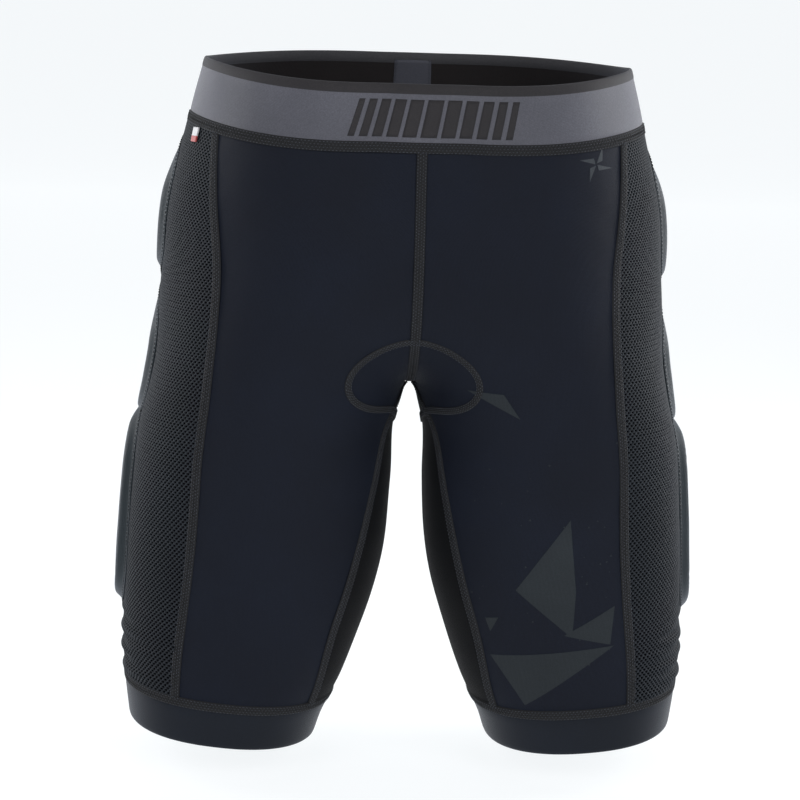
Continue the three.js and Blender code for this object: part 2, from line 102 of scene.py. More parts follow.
def profile(points):
    """A smooth curve through (depth, value) points, looked up by depth."""
    x, y = (np.array(v, float) for v in zip(*points))
    back, ahead = np.r_[0, :len(x) - 1], np.r_[1:len(x), len(x) - 1]
    slope = (y[ahead] - y[back]) / (x[ahead] - x[back])
    d = np.clip(DEPTHS, x[0], x[-1])
    i = np.clip(np.searchsorted(x, d, side="right") - 1, 0, len(x) - 2)
    h, rise = x[i + 1] - x[i], y[i + 1] - y[i]
    t = (d - x[i]) / h
    bulge = t * (1 - t) * ((1 - t) * (slope[i] * h - rise) - t * (slope[i + 1] * h - rise))
    table = mix(y[i], y[i + 1], t) + bulge
    return lambda depth: np.interp(depth, DEPTHS, table)


half_spread = profile([
    (0, WAIST_WIDTH / 2),
    (BAND_HEIGHT, WAIST_WIDTH / 2 + 10),
    (RISE * 0.4, HIP_WIDTH / 2 - 4),
    (RISE * 0.66, HIP_WIDTH / 2),
    (RISE, mix(HIP_WIDTH, THIGH_SPREAD, 0.43) / 2),
    (RISE + INSEAM * 0.22, mix(HIP_WIDTH, THIGH_SPREAD, 0.78) / 2),
    (RISE + INSEAM * 0.62, THIGH_SPREAD / 2),
    (RISE + INSEAM * 0.8, THIGH_SPREAD / 2 + 1),
    (TOTAL, HEM_SPREAD / 2),
])
half_gap = profile([
    (0, -70),
    (RISE * 0.6, -42),
    (RISE - 9, 0),
    (RISE + INSEAM * 0.07, 7),
    (RISE + INSEAM * 0.14, 11),
    (RISE + INSEAM * 0.28, 11.5),
    (RISE + INSEAM * 0.42, 14),
    (RISE + INSEAM * 0.55, 20),
    (RISE + INSEAM * 0.68, 31),
    (RISE + INSEAM * 0.82, 44),
    (RISE + INSEAM * 0.93, HEM_GAP / 2 - 6),
    (TOTAL, HEM_GAP / 2),
])
front_reach = profile([
    (0, WAIST_DEPTH / 2),
    (RISE * 0.25, mix(WAIST_DEPTH / 2, HIP_FRONT, 0.7)),
    (RISE * 0.6, HIP_FRONT),
    (RISE, HIP_FRONT - 7),
    (RISE + INSEAM * 0.5, mix(HIP_FRONT, HEM_DEPTH / 2, 0.7)),
    (TOTAL, HEM_DEPTH / 2 + 2),
])
back_reach = profile([
    (0, WAIST_DEPTH / 2),
    (RISE * 0.25, mix(WAIST_DEPTH / 2, HIP_BACK, 0.4)),
    (RISE * 0.65, HIP_BACK),
    (RISE, HIP_BACK - 10),
    (RISE + INSEAM * 0.5, mix(HIP_BACK, HEM_DEPTH / 2, 0.75)),
    (TOTAL, HEM_DEPTH / 2 - 2),
])


# ---- The outer face, as a distance that is negative inside ----
def smooth_min(a, b, radius):
    h = np.maximum(radius - np.abs(a - b), 0) / radius
    return np.minimum(a, b) - h * h * radius / 4


def oval(x, y, half_x, front, back):
    """A level section a little squarer than an ellipse: negative inside it."""
    cy, half_y = (back - front) / 2, (back + front) / 2
    rho = np.hypot(x, y - cy) + 1e-9
    r = ((np.abs(x) / half_x) ** OVAL_POWER + (np.abs(y - cy) / half_y) ** OVAL_POWER) ** (1 / OVAL_POWER)
    return rho - rho / np.maximum(r, 1e-9)


def leg_centre(depth):
    return (half_spread(depth) + half_gap(depth)) / 2


def middle_y(depth):
    return (back_reach(depth) - front_reach(depth)) / 2


def distance(p):
    """How far points lie off the outer face, negative inside: two legs blended with the torso."""
    x, y, depth = p[..., 0], p[..., 1], -p[..., 2]
    spread, front, back = half_spread(depth), front_reach(depth), back_reach(depth)
    centre = leg_centre(depth)
    half_x = spread - centre
    legs = smooth_min(oval(x - centre, y, half_x, front, back),
                      oval(x + centre, y, half_x, front, back), LEG_BLEND)
    walls = oval(x, y, spread, front, back)
    crotch = depth - (RISE - FORK_DROP)
    torso = -smooth_min(-walls, -crotch, CROTCH_ROUND)
    blend = mix(1, TORSO_BLEND, smooth((depth - BAND_HEIGHT) / (RISE * 0.4)))
    return smooth_min(legs, torso, blend)


def normals_at(p):
    n = np.empty_like(p)
    for k in range(3):
        step = np.zeros(3)
        step[k] = 0.05
        n[..., k] = distance(p + step) - distance(p - step)
    return n / np.linalg.norm(n, axis=-1, keepdims=True)


def boundary(inside, far, steps=26):
    """How far out the inside ends, by halving between nought and far."""
    near = np.zeros(far.shape)
    for _ in range(steps):
        middle = (near + far) / 2
        within = inside(middle)
        near, far = np.where(within, middle, near), np.where(within, far, middle)
    return near


def cast_out(x, y, angle, depth):
    """Where level rays from (x, y) leave the garment. One still inside at the middle plane ends past it."""
    x, y, angle, depth = np.broadcast_arrays(*(np.asarray(v, float) for v in (x, y, angle, depth)))
    dx, dy = np.cos(angle), np.sin(angle)
    far = np.full(x.shape, float(HIP_WIDTH))
    inward = (x > 0) & (dx * far < -x)
    far[inward] = -x[inward] / dx[inward] + 0.01

    def at(length):
        return np.stack([x + dx * length, y + dy * length, -depth], -1)

    return at(boundary(lambda length: distance(at(length)) < 0, far))


def drape(p):
    """The waist edge dips in front and rises behind, and the hems slope."""
    x, y, z = p[..., 0], p[..., 1], p[..., 2]
    at_waist = smooth((RISE * 0.7 + z) / (RISE * 0.6))
    dip = -FRONT_DIP * (y / front_reach(0)) ** 2
    lift = BACK_RISE * (y / back_reach(0)) ** 2
    at_hem = smooth((-z - RISE) / INSEAM)
    slope = HEM_SLOPE * (np.abs(x) - leg_centre(TOTAL))
    out = p.copy()
    out[..., 2] += np.where(y < 0, dip, lift) * at_waist + slope * at_hem
    return out


# ---- Level sections of one half ----
STEPS = 180


def section(depth, way):
    """The left half's curve at a depth, from the side line forwards or backwards, and its arc lengths."""
    x, y = leg_centre(depth), middle_y(depth)
    p = cast_out(x, y, -way * np.pi * np.arange(STEPS + 1) / STEPS, depth)
    past = np.nonzero(p[:, 0] < 0)[0]
    if len(past):
        p = np.vstack([p[:past[0]], cast_out(0, y, -way * np.pi / 2, depth)[None]])
    arc = np.r_[0, np.cumsum(np.linalg.norm(np.diff(p, axis=0), axis=1))]
    return p, arc


SECTIONS = {}


def section_at(depth, way):
    """A section, kept for the next time it is asked for."""
    key = (round(float(depth), 3), way)
    if key not in SECTIONS:
        SECTIONS[key] = section(float(depth), way)
    return SECTIONS[key]


def around(depth, reach):
    """Points at one depth, at reaches round the half: forwards of the side line is positive."""
    reach = np.atleast_1d(np.asarray(reach, float))
    out = np.empty((len(reach), 3))
    for way in (FRONT, BACK):
        mine = reach >= 0 if way == FRONT else reach < 0
        if mine.any():
            p, arc = section_at(depth, way)
            for k in range(3):
                out[mine, k] = np.interp(np.abs(reach[mine]), arc, p[:, k])
    return out


def reach_at_x(depth, way, x):
    """How far round a section is when it passes a given x."""
    p, arc = section_at(depth, way)
    return way * float(np.interp(-x, -p[:, 0], arc))


side_seam_share = profile([
    (PANEL_TOP, 0.86),
    (RISE * 0.6, 0.79),
    (RISE * 1.15, 0.752),
    (RISE + INSEAM * 0.45, 0.752),
    (TOTAL, 0.81),
])
inner_seam_reach = profile([
    (FORK, 9),
    (FORK + 24, 44),
    (RISE + INSEAM * 0.55, 66),
    (TOTAL, 50),
])


def side_front(depth):
    return reach_at_x(depth, FRONT, half_spread(depth) * side_seam_share(depth))


def side_rear(depth):
    return reach_at_x(depth, BACK, half_spread(depth) * (side_seam_share(depth) - 0.06))


def middle_reach(depth, way):
    return way * section_at(depth, way)[1][-1]


def inner_front(depth):
    return middle_reach(depth, FRONT) - inner_seam_reach(depth)


def inner_rear(depth):
    return middle_reach(depth, BACK) + inner_seam_reach(depth) * REAR_SEAM_SHARE


def front_edge(depth):
    return middle_reach(depth, FRONT) if depth < FORK - 2 else inner_front(depth)


def back_edge(depth):
    return middle_reach(depth, BACK) if depth < FORK - 2 else inner_rear(depth)


def walk(p, heading, length):
    """Steps along the outer face from points p, keeping to the surface."""
    steps = 40
    q, h = p.astype(float).copy(), heading.astype(float).copy()
    length = np.asarray(length, float)[..., None]
    for _ in range(steps):
        n = normals_at(q)
        h = h - n * (h * n).sum(-1, keepdims=True)
        h /= np.linalg.norm(h, axis=-1, keepdims=True) + 1e-12
        q = settle(q + h * length / steps)
    return q


def settle(q):
    """Points near the outer face, moved onto it."""
    for _ in range(3):
        q = q - normals_at(q) * distance(q)[..., None]
    return q


# ---- Meshes ----
def put(name, verts, faces, material, body="garment", replaces=(), uv=None):
    """A finished piece: verts are millimetres in the draped frame."""
    mesh = bpy.data.meshes.new(name)
    mesh.from_pydata((np.asarray(verts) * MM).tolist(), [], faces)
    mesh.update()
    if uv is not None:
        layer = mesh.uv_layers.new(name="cloth")
        loops = np.empty(len(mesh.loops), np.int32)
        mesh.loops.foreach_get("vertex_index", loops)
        layer.data.foreach_set("uv", (np.asarray(uv)[loops] * MM).astype(np.float32).ravel())
    mesh.shade_smooth()
    piece = bpy.data.objects.new(name, mesh)
    bpy.context.scene.collection.objects.link(piece)
    mesh.materials.append(material)
    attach(piece, body)
    if replaces:
        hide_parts(*replaces)
    return piece


def grid_faces(rows, cols, ring=False, base=0, turned=False):
    """Quads over a grid of vertices, whose columns may close into a ring."""
    faces = []
    last = cols if ring else cols - 1
    for i in range(rows - 1):
        for j in range(last):
            k = (j + 1) % cols
            quad = (base + i * cols + j, base + (i + 1) * cols + j,
                    base + (i + 1) * cols + k, base + i * cols + k)
            faces.append(quad[::-1] if turned else quad)
    return faces


def slab(outer, inner, ring=False, flip=False):
    """A closed sheet between two grids of the same shape."""
    rows, cols = outer.shape[:2]
    n = rows * cols
    verts = np.vstack([outer.reshape(-1, 3), inner.reshape(-1, 3)])
    faces = grid_faces(rows, cols, ring, 0, flip) + grid_faces(rows, cols, ring, n, not flip)
    last = cols if ring else cols - 1
    rim = []
    for j in range(last):
        k = (j + 1) % cols
        rim.append((j, k, n + k, n + j))
        low = (rows - 1) * cols
        rim.append((low + k, low + j, n + low + j, n + low + k))
    if not ring:
        for i in range(rows - 1):
            a, b = i * cols, (i + 1) * cols
            rim.append((b, a, n + a, n + b))
            rim.append((a + cols - 1, b + cols - 1, n + b + cols - 1, n + a + cols - 1))
    faces += [f[::-1] for f in rim] if flip else rim
    return verts, faces


def mirrored(verts, side):
    """Points made for the left, moved to their side."""
    out = np.array(verts, float)
    if side == RIGHT:
        out[..., 0] *= -1
    return out


def handed(faces, side):
    """Faces of a piece made for the left, turned round for the right."""
    return [f[::-1] for f in faces] if side == RIGHT else faces


def raised(points, normal, out):
    """Points moved off the outer face, in the draped frame."""
    return drape(points + normal * np.asarray(out, float)[..., None])


def both_faces(uv):
    """The cloth map of a slab, the same on both its faces."""
    return np.vstack([uv.reshape(-1, 2)] * 2)


def join(parts):
    """Several meshes as one."""
    verts, faces, at = [], [], 0
    for v, f in parts:
        verts.append(v)
        faces += [tuple(k + at for k in q) for q in f]
        at += len(v)
    return np.vstack(verts), faces


# ---- Materials ----
def material(name):
    made = bpy.data.materials.new(name)
    made.use_nodes = True
    return made, made.node_tree, made.node_tree.nodes["Principled BSDF"]


class Nodes:
    """A short way to write a shader's node tree."""

    def __init__(self, tree):
        self.tree = tree

    def new(self, kind, **values):
        node = self.tree.nodes.new("ShaderNode" + kind)
        for key, value in values.items():
            setattr(node, key, value)
        return node

    def link(self, a, b):
        self.tree.links.new(a, b)

    def math(self, operation, a, b=0.0, c=0.0):
        node = self.new("Math", operation=operation)
        for socket, value in zip(node.inputs, (a, b, c)):
            if isinstance(value, (int, float)):
                socket.default_value = value
            else:
                self.link(value, socket)
        return node.outputs[0]

    def ramp(self, value, stops):
        node = self.new("ValToRGB")
        self.link(value, node.inputs[0])
        elements = node.color_ramp.elements
        while len(elements) < len(stops):
            elements.new(0.5)
        for element, (at, colour) in zip(elements, stops):
            element.position = at
            element.color = (*colour, 1)
        return node.outputs[0]

    def blend(self, factor, a, b):
        node = self.new("Mix", data_type="RGBA")
        for socket, value in ((node.inputs[0], factor), (node.inputs[6], a), (node.inputs[7], b)):
            if isinstance(value, tuple):
                socket.default_value = (*value, 1)
            elif isinstance(value, (int, float)):
                socket.default_value = value
            else:
                self.link(value, socket)
        return node.outputs[2]

    def noise(self, vector, scale, detail=3.0):
        node = self.new("TexNoise")
        self.link(vector, node.inputs["Vector"])
        node.inputs["Scale"].default_value = scale
        node.inputs["Detail"].default_value = detail
        return node.outputs["Fac"]

    def bump(self, height, shader, strength, depth):
        node = self.new("Bump")
        node.inputs["Strength"].default_value = strength
        node.inputs["Distance"].default_value = depth
        self.link(height, node.inputs["Height"])
        self.link(node.outputs[0], shader.inputs["Normal"])


def cloth(name, dark, light, roughness, sheen, pitch=0.9, knit="knit", bump=0.4,
          sheen_tint=(0.55, 0.6, 0.75)):
    """Stretch cloth: a fine knit or twill of the given pitch in mm, with slow colour variation."""
    made, tree, shader = material(name)
    n = Nodes(tree)
    uv = n.new("UVMap", uv_map="cloth").outputs[0]
    place = n.new("TexCoord").outputs["Object"]
    split = n.new("SeparateXYZ")
    n.link(uv, split.inputs[0])
    u, v = split.outputs[0], split.outputs[1]
    turns = 2 * math.pi / (pitch * MM)
    if knit == "twill":
        diagonal = n.math("ADD", n.math("MULTIPLY", u, turns), n.math("MULTIPLY", v, turns * 0.6))
        weave = n.math("MULTIPLY_ADD", n.math("SINE", diagonal), 0.5, 0.5)
        fine = n.math("MULTIPLY_ADD", n.math("SINE", n.math("MULTIPLY", v, turns * 1.7)), 0.5, 0.5)
        weave = n.math("MULTIPLY_ADD", weave, 0.7, n.math("MULTIPLY", fine, 0.3))
    else:
        ribs = n.math("ABSOLUTE", n.math("SINE", n.math("MULTIPLY", u, turns / 2)))
        wave = n.math("SINE", n.math("MULTIPLY", v, turns))
        lean = n.math("ABSOLUTE", n.math("SINE", n.math("MULTIPLY_ADD", u, turns, math.pi / 4)))
        weave = n.math("MULTIPLY", ribs, n.math("MULTIPLY_ADD", n.math("MULTIPLY", wave, lean), 0.3, 0.7))
    slow = n.noise(place, 14, 4)
    grain = n.noise(place, 900, 2)
    tone = n.math("MULTIPLY_ADD", n.math("SUBTRACT", slow, 0.5), 0.7, n.math("MULTIPLY", weave, 0.6))
    tone = n.math("MULTIPLY_ADD", n.math("SUBTRACT", grain, 0.5), 0.5, tone)
    n.link(n.ramp(tone, [(0.1, dark), (0.75, light)]), shader.inputs["Base Color"])
    rough = n.math("MULTIPLY_ADD", slow, 0.12, roughness - 0.06)
    n.link(rough, shader.inputs["Roughness"])
    shader.inputs["Specular IOR Level"].default_value = 0.16
    shader.inputs["Sheen Weight"].default_value = sheen
    shader.inputs["Sheen Roughness"].default_value = 0.45
    shader.inputs["Sheen Tint"].default_value = (*sheen_tint, 1)
    n.bump(weave, shader, bump, pitch * MM * 0.35)
    return made


def plain(name, dark, light, roughness, sheen=0.0, scale=600.0, bump=0.3):
    """Thread, seam tape, silicone or ribbon: a noisy tone with a fine grain."""
    made, tree, shader = material(name)
    n = Nodes(tree)
    place = n.new("TexCoord").outputs["Object"]
    grain = n.noise(place, scale, 3)
    slow = n.noise(place, 30, 2)
    tone = n.math("MULTIPLY_ADD", grain, 0.6, n.math("MULTIPLY", slow, 0.4))
    n.link(n.ramp(tone, [(0.3, dark), (0.7, light)]), shader.inputs["Base Color"])
    n.link(n.math("MULTIPLY_ADD", grain, 0.15, roughness - 0.07), shader.inputs["Roughness"])
    shader.inputs["Sheen Weight"].default_value = sheen
    n.bump(grain, shader, bump, 0.0003)
    return made


MESH_ACROSS, MESH_DOWN = 3.8, 3.8      # one repeat of the side mesh's offset holes


def hole_field(u, v):
    """0 in the middle of a hole to 1 on a strand, for an offset lattice of wide holes."""
    a, b = u / MESH_ACROSS, v / MESH_DOWN
    first = np.hypot((a - np.round(a)) / 0.33, (b - np.round(b)) / 0.27)
    a, b = a + 0.5, b + 0.5
    second = np.hypot((a - np.round(a)) / 0.33, (b - np.round(b)) / 0.27)
    return smooth((np.minimum(first, second) - 0.6) / 0.5)


def mesh_cloth():
    """The side mesh: its tone follows the depth of its holes, kept on the mesh as an attribute. The holes
    hold painted shade: their colour goes near-black and their sheen and specular fall to nought, standing in
    for the shade inside the holes over the dark backing seen through them.
    """
    made, tree, shader = material("side_mesh_cloth")
    n = Nodes(tree)
    strand = n.new("Attribute", attribute_name="strand").outputs["Fac"]
    place = n.new("TexCoord").outputs["Object"]
    grain = n.noise(place, 1400, 2)
    slow = n.noise(place, 18, 3)
    dye = n.math("MULTIPLY_ADD", grain, 0.5, n.math("MULTIPLY_ADD", slow, 0.4, 0.4))
    # Painted shade: the colour falls to near-black where the strand field falls to nought in the holes.
    tone = n.math("MULTIPLY", strand, dye)
    colour = n.ramp(tone, [(0.1, (0.0008, 0.001, 0.0015)), (0.5, (0.0066, 0.0083, 0.0112)),
                          (1.0, (0.0175, 0.0222, 0.0295))])
    n.link(colour, shader.inputs["Base Color"])
    n.link(n.math("MULTIPLY_ADD", grain, 0.15, 0.62), shader.inputs["Roughness"])
    shader.inputs["Sheen Roughness"].default_value = 0.5
    shader.inputs["Sheen Tint"].default_value = (0.6, 0.66, 0.78, 1)
    # Painted shade as well: the holes get no sheen and no specular, only the strands do.
    n.link(n.math("MULTIPLY", strand, 0.05), shader.inputs["Sheen Weight"])
    n.link(n.math("MULTIPLY", strand, 0.22), shader.inputs["Specular IOR Level"])
    n.bump(grain, shader, 0.3, 0.0003)
    return made


NAVY = cloth("navy_stretch_cloth", (0.0018, 0.0032, 0.0082), (0.0062, 0.0098, 0.021), 0.66, 0.05)
INNER = cloth("inner_leg_cloth", (0.0008, 0.001, 0.0016), (0.0025, 0.003, 0.0046), 0.78, 0.01)
PAD = cloth("pad_cover_cloth", (0.014, 0.0197, 0.024), (0.034, 0.0445, 0.052), 0.5, 0.2, pitch=0.7,
            bump=0.25)
BAND = cloth("waistband_weave", (0.062, 0.063, 0.076), (0.142, 0.143, 0.174), 0.4, 0.22, pitch=0.8,
             knit="twill", bump=0.6, sheen_tint=(0.8, 0.82, 0.95))
BAND_DARK = cloth("waistband_dark_weave", (0.018, 0.017, 0.019), (0.04, 0.037, 0.04), 0.55, 0.1, pitch=0.8,
                  knit="twill", bump=0.5)
BAND_INSIDE = cloth("waistband_lining", (0.009, 0.0075, 0.008), (0.02, 0.0165, 0.017), 0.7, 0.2, pitch=1.0)
BAND_INSIDE_EDGE = cloth("waistband_inside_edge", (0.045, 0.045, 0.05), (0.085, 0.085, 0.092), 0.6, 0.2)
HEM = cloth("hem_cloth", (0.0028, 0.0046, 0.0088), (0.0078, 0.0116, 0.0205), 0.45, 0.1, pitch=0.7, bump=0.2)
PRINT = cloth("print_ink", (0.011, 0.0145, 0.018), (0.024, 0.03, 0.036), 0.5, 0.04, bump=0.3)
PRINT_LIGHT = cloth("hip_print_ink", (0.026, 0.031, 0.037), (0.058, 0.067, 0.078), 0.45, 0.06, bump=0.3)
LINING = cloth("seat_lining", (0.012, 0.013, 0.016), (0.03, 0.032, 0.038), 0.8, 0.3, pitch=1.2)
LABEL = cloth("label_weave", (0.045, 0.047, 0.06), (0.085, 0.088, 0.11), 0.6, 0.2, pitch=0.5)
MESH = mesh_cloth()
TAPE = plain("seam_tape", (0.0015, 0.0018, 0.003), (0.004, 0.0046, 0.0068), 0.85, 0.0)
THREAD = plain("seam_thread_light", (0.017, 0.02, 0.03), (0.046, 0.053, 0.072), 0.6, 0.03)
THREAD_DARK = plain("seam_thread_dark", (0.0015, 0.002, 0.0035), (0.0045, 0.0055, 0.008), 0.75, 0.0)
SILICONE = plain("gripper_silicone", (0.03, 0.034, 0.04), (0.05, 0.055, 0.062), 0.35, scale=200, bump=0.1)
TAG_WHITE = plain("ribbon_white", (0.5, 0.5, 0.52), (0.68, 0.68, 0.7), 0.5, 0.2)
TAG_RED = plain("ribbon_red", (0.3, 0.03, 0.03), (0.45, 0.05, 0.05), 0.5, 0.2)


# ---- Camera, light and floor ----
def camera():
    """The view of the photo, with the small turn and roll that it was taken with."""
    distance_back, pitch, lens = 1.4, math.radians(10), 86.3
    yaw, roll, aside = math.radians(2.2), math.radians(1.65), 0.0062
    data = bpy.data.cameras.new("camera")
    data.lens, data.sensor_width = lens, 36
    cam = bpy.data.objects.new("camera", data)
    cam.location = (-distance_back * math.sin(yaw) - aside, -distance_back * math.cos(yaw), 0.0)
    cam.rotation_mode = "QUATERNION"
    cam.rotation_quaternion = (Quaternion((0, 0, 1), -yaw) @ Quaternion((1, 0, 0), math.pi / 2 - pitch)
                               @ Quaternion((0, 0, 1), roll))
    bpy.context.scene.collection.objects.link(cam)
    bpy.context.scene.camera = cam


def area(name, place, target, size, power):
    data = bpy.data.lights.new(name, "AREA")
    data.shape, data.size, data.size_y = "RECTANGLE", size[0], size[1]
    data.energy = power
    light = bpy.data.objects.new(name, data)
    light.location = place
    light.rotation_euler = (Vector(target) - Vector(place)).to_track_quat("-Z", "Y").to_euler()
    bpy.context.scene.collection.objects.link(light)


def studio():
    """Two soft lights in front, one behind each side and one above."""
    for name, place, target, size, power in (
            ("key_front_left", (-1.3, -2.2, 1.1), (0, 0, -0.2), (1.6, 1.6), 26),
            ("key_front_right", (1.5, -2.0, 0.9), (0, 0, -0.2), (1.4, 1.6), 30),
            ("rim_left", (-1.5, 0.55, 0.1), (-0.1, 0, -0.25), (0.7, 1.7), 20),
            ("rim_right", (1.5, 0.55, 0.1), (0.1, 0, -0.25), (0.7, 1.7), 24),
            ("top", (0, 0.3, 2.0), (0, 0, 0), (1.6, 1.6), 12)):
        area(name, place, target, size, power)
    world = bpy.data.worlds.new("studio")
    world.use_nodes = True
    background = world.node_tree.nodes["Background"]
    background.inputs[0].default_value = (0.93, 0.96, 1.0, 1)
    background.inputs[1].default_value = 0.16
    bpy.context.scene.world = world
    bpy.context.scene.view_settings.view_transform = "Standard"


def floor():
    """A pale floor that runs up into a pale wall, far behind."""
    half, level, back, bend = 9.0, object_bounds()[0].z - 0.02, 6.0, 3.0
    rows = [(-9.0, level), (back, level)]
    rows += [(back + bend * math.sin(a), level + bend * (1 - math.cos(a)))
             for a in np.linspace(0.1, math.pi / 2, 14)]
    rows.append((back + bend, 12.0))
    verts = [(x, y, z) for y, z in rows for x in (-half, half)]
    faces = [(2 * i, 2 * i + 1, 2 * i + 3, 2 * i + 2) for i in range(len(rows) - 1)]
    mesh = bpy.data.meshes.new("floor")
    mesh.from_pydata(verts, [], faces)
    mesh.shade_smooth()
    sheet = bpy.data.objects.new("floor", mesh)
    bpy.context.scene.collection.objects.link(sheet)
    made, tree, shader = material("pale_floor")
    shader.inputs["Base Color"].default_value = (0.2, 0.2, 0.2, 1)
    shader.inputs["Roughness"].default_value = 0.9
    shader.inputs["Emission Color"].default_value = (0.95, 0.98, 1.0, 1)
    shader.inputs["Emission Strength"].default_value = 0.87
    mesh.materials.append(made)
    sheet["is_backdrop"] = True


# ---- Cloth panels ----
def levels(top, bottom, step):
    """Depths from top to bottom, closer together where the crotch turns under."""
    out = [top]
    while out[-1] < bottom:
        near_fork = RISE - 32 < out[-1] < FORK + 8
        out.append(out[-1] + (min(step, 1.0) if near_fork else step))
    out[-1] = bottom
    return np.array(out)


def panel_grid(depths, start, end, cols):
    """Points, and their reach and depth, between two edges."""
    points, where = [], []
    for depth in depths:
        reach = np.linspace(start(depth), end(depth), cols)
        points.append(around(depth, reach))
        where.append(np.stack([reach, np.full(cols, depth)], -1))
    return np.array(points), np.array(where)


def soft_waves(p, size, seed):
    """Slow, even undulations of cloth over a body, from a few sine waves. Between -1 and 1."""
    r = np.random.default_rng(seed)
    total = np.zeros(p.shape[:-1])
    for _ in range(7):
        direction = r.normal(size=3)
        direction /= np.linalg.norm(direction)
        total += np.sin(p @ direction * (2 * np.pi / size) * r.uniform(0.7, 1.5) + r.uniform(0, 6.28))
    return total / 4.5


EDGE_GAP = SEAM_WIDTH / 2 - 1.0        # cloth runs under the seam's edge
END_LAP = 1.5                          # and under the seams above and below it
PANEL_STEP, PANEL_COLS = 3.2, 60


def pucker(where, start, end, depths):
    """Cloth pulled in beside its seams, in small waves."""
    first = np.array([start(d) for d in depths])[:, None]
    last = np.array([end(d) for d in depths])[:, None]
    near = np.minimum(np.abs(where[..., 0] - first), np.abs(where[..., 0] - last))
    waves = 0.75 + 0.25 * np.sin(where[..., 1] * 2 * np.pi / 8.5 + where[..., 0] * 0.05)
    return -0.55 * np.exp(-(near / 5.5) ** 2) * waves


def panel_waves(p, seed):
    """The undulation of a stretched panel: long waves with shorter ones over them."""
    return 0.5 * soft_waves(p, 95, seed) + 0.16 * soft_waves(p, 30, seed + 9)


FRONT_WAVES, BACK_WAVES = 3, 5


def cloth_panel(name, start, end, seed):
    """A left and a right panel between two edges, with its own waves."""
    depths = levels(PANEL_TOP - END_LAP, PANEL_BOTTOM + END_LAP, PANEL_STEP)

    def first(d):
        return start(d) - EDGE_GAP * np.sign(start(d) - end(d))

    def last(d):
        return end(d) + EDGE_GAP * np.sign(start(d) - end(d))

    grid, where = panel_grid(depths, first, last, PANEL_COLS)
    normal = normals_at(grid)
    widths = np.abs(np.array([start(d) - end(d) for d in depths]))
    for side, word in SIDES:
        out = pucker(where, start, end, depths) + panel_waves(grid * (side, 1, 1), seed) - 0.35
        verts, faces = slab(raised(grid, normal, out), raised(grid, normal, out - PANEL_THICKNESS),
                            flip=side == LEFT)
        piece = put(name + word + "_cloth", mirrored(verts, side), faces, NAVY,
                    replaces=[name + word], uv=both_faces(where))


def inner_leg_panels():
    """One panel inside each leg, across the inner-leg line from its front seam to its rear seam."""
    depths = levels(FORK + 2, PANEL_BOTTOM + END_LAP, PANEL_STEP)
    cols = 16
    rows, where = [], []
    for depth in depths:
        reach = float(inner_seam_reach(depth))
        ahead = -(reach - EDGE_GAP) * (1 - np.arange(cols) / cols)
        behind = (reach * REAR_SEAM_SHARE - EDGE_GAP) * np.arange(cols + 1) / cols
        rows.append(np.vstack([around(depth, middle_reach(depth, FRONT) + ahead),
                               around(depth, middle_reach(depth, BACK) + behind)]))
        where.append(np.stack([np.r_[ahead, behind], np.full(2 * cols + 1, depth)], -1))
    grid, where = np.array(rows), np.array(where)
    normal = normals_at(grid)
    for side, word in SIDES:
        out = 0.4 * soft_waves(grid * (side, 1, 1), 60, 8) - 0.3
        verts, faces = slab(raised(grid, normal, out), raised(grid, normal, out - PANEL_THICKNESS),
                            flip=side == LEFT)
        piece = put("inner_leg_panel" + word + "_cloth", mirrored(verts, side), faces, INNER,
                    replaces=["inner_leg_panel" + word], uv=both_faces(where))
        inner_seam_reach(depths) * (1 + REAR_SEAM_SHARE)


# ---- Side mesh ----
def refined(rows, coarse, fine):
    """Rows of a grid at coarse depths, filled in at fine ones."""
    at = np.interp(fine, coarse, np.arange(len(coarse)))
    i = np.minimum(at.astype(int), len(coarse) - 2)
    return mix(rows[i], rows[i + 1], (at - i)[:, None, None])


def mesh_wrinkles(where, side):
    """Level folds low on the mesh, under the thigh pad, that die out upwards."""
    reach, depth = where[..., 0], where[..., 1]
    low = smooth((depth - 395) / 22) * smooth((PANEL_BOTTOM + 4 - depth) / 10)
    bend = 3.5 * np.sin(reach / 24 + side)
    folds = np.sin((depth + bend) * 2 * np.pi / 15.5)
    folds += 0.5 * np.sin((depth - bend) * 2 * np.pi / 9.5 + 1)
    return (0.75 + 0.35 * np.sin(reach / 17)) * low * folds


def side_meshes():
    """A net with offset holes and a thin backing behind it, between the two side seams."""
    depths = np.arange(PANEL_TOP - END_LAP, PANEL_BOTTOM + END_LAP, MESH_DOWN / 6)
    coarse = np.linspace(depths[0], depths[-1], 140)
    widths = np.array([side_front(d) - side_rear(d) for d in coarse])
    widest = max(side_front(d) - side_rear(d) for d in (60, 200, 300, 420))
    cols = int(widest / (MESH_ACROSS / 5))
    base, where = panel_grid(coarse, lambda d: side_front(d) - EDGE_GAP,
                             lambda d: side_rear(d) + EDGE_GAP, cols)
    normal = normals_at(base)
    fine, fine_normal, spot = (refined(rows, coarse, depths) for rows in (base, normal, where))
    strand = hole_field(spot[..., 0], spot[..., 1])
    for side, word in SIDES:
        waves = 0.4 * soft_waves(fine * (side, 1, 1), 80, 12) + mesh_wrinkles(spot, side)
        outer = raised(fine, fine_normal, waves - 0.35 + 0.75 * strand)
        net = put("side_mesh" + word + "_net", mirrored(outer.reshape(-1, 3), side),
                  grid_faces(*outer.shape[:2], turned=side == LEFT), MESH,
                  replaces=["side_mesh" + word], uv=spot.reshape(-1, 2))
        tone = net.data.attributes.new("strand", "FLOAT", "POINT")
        tone.data.foreach_set("value", strand.astype(np.float32).ravel())
        waves = 0.4 * soft_waves(base * (side, 1, 1), 80, 12) + mesh_wrinkles(where, side)
        front, back = (raised(base, normal, waves - off)[:, ::4] for off in (1.6, 2.3))
        verts, faces = slab(front, back, flip=side == LEFT)
        backing = put("side_mesh" + word + "_backing", mirrored(verts, side), faces, INNER,
                      uv=both_faces(where[:, ::4]))


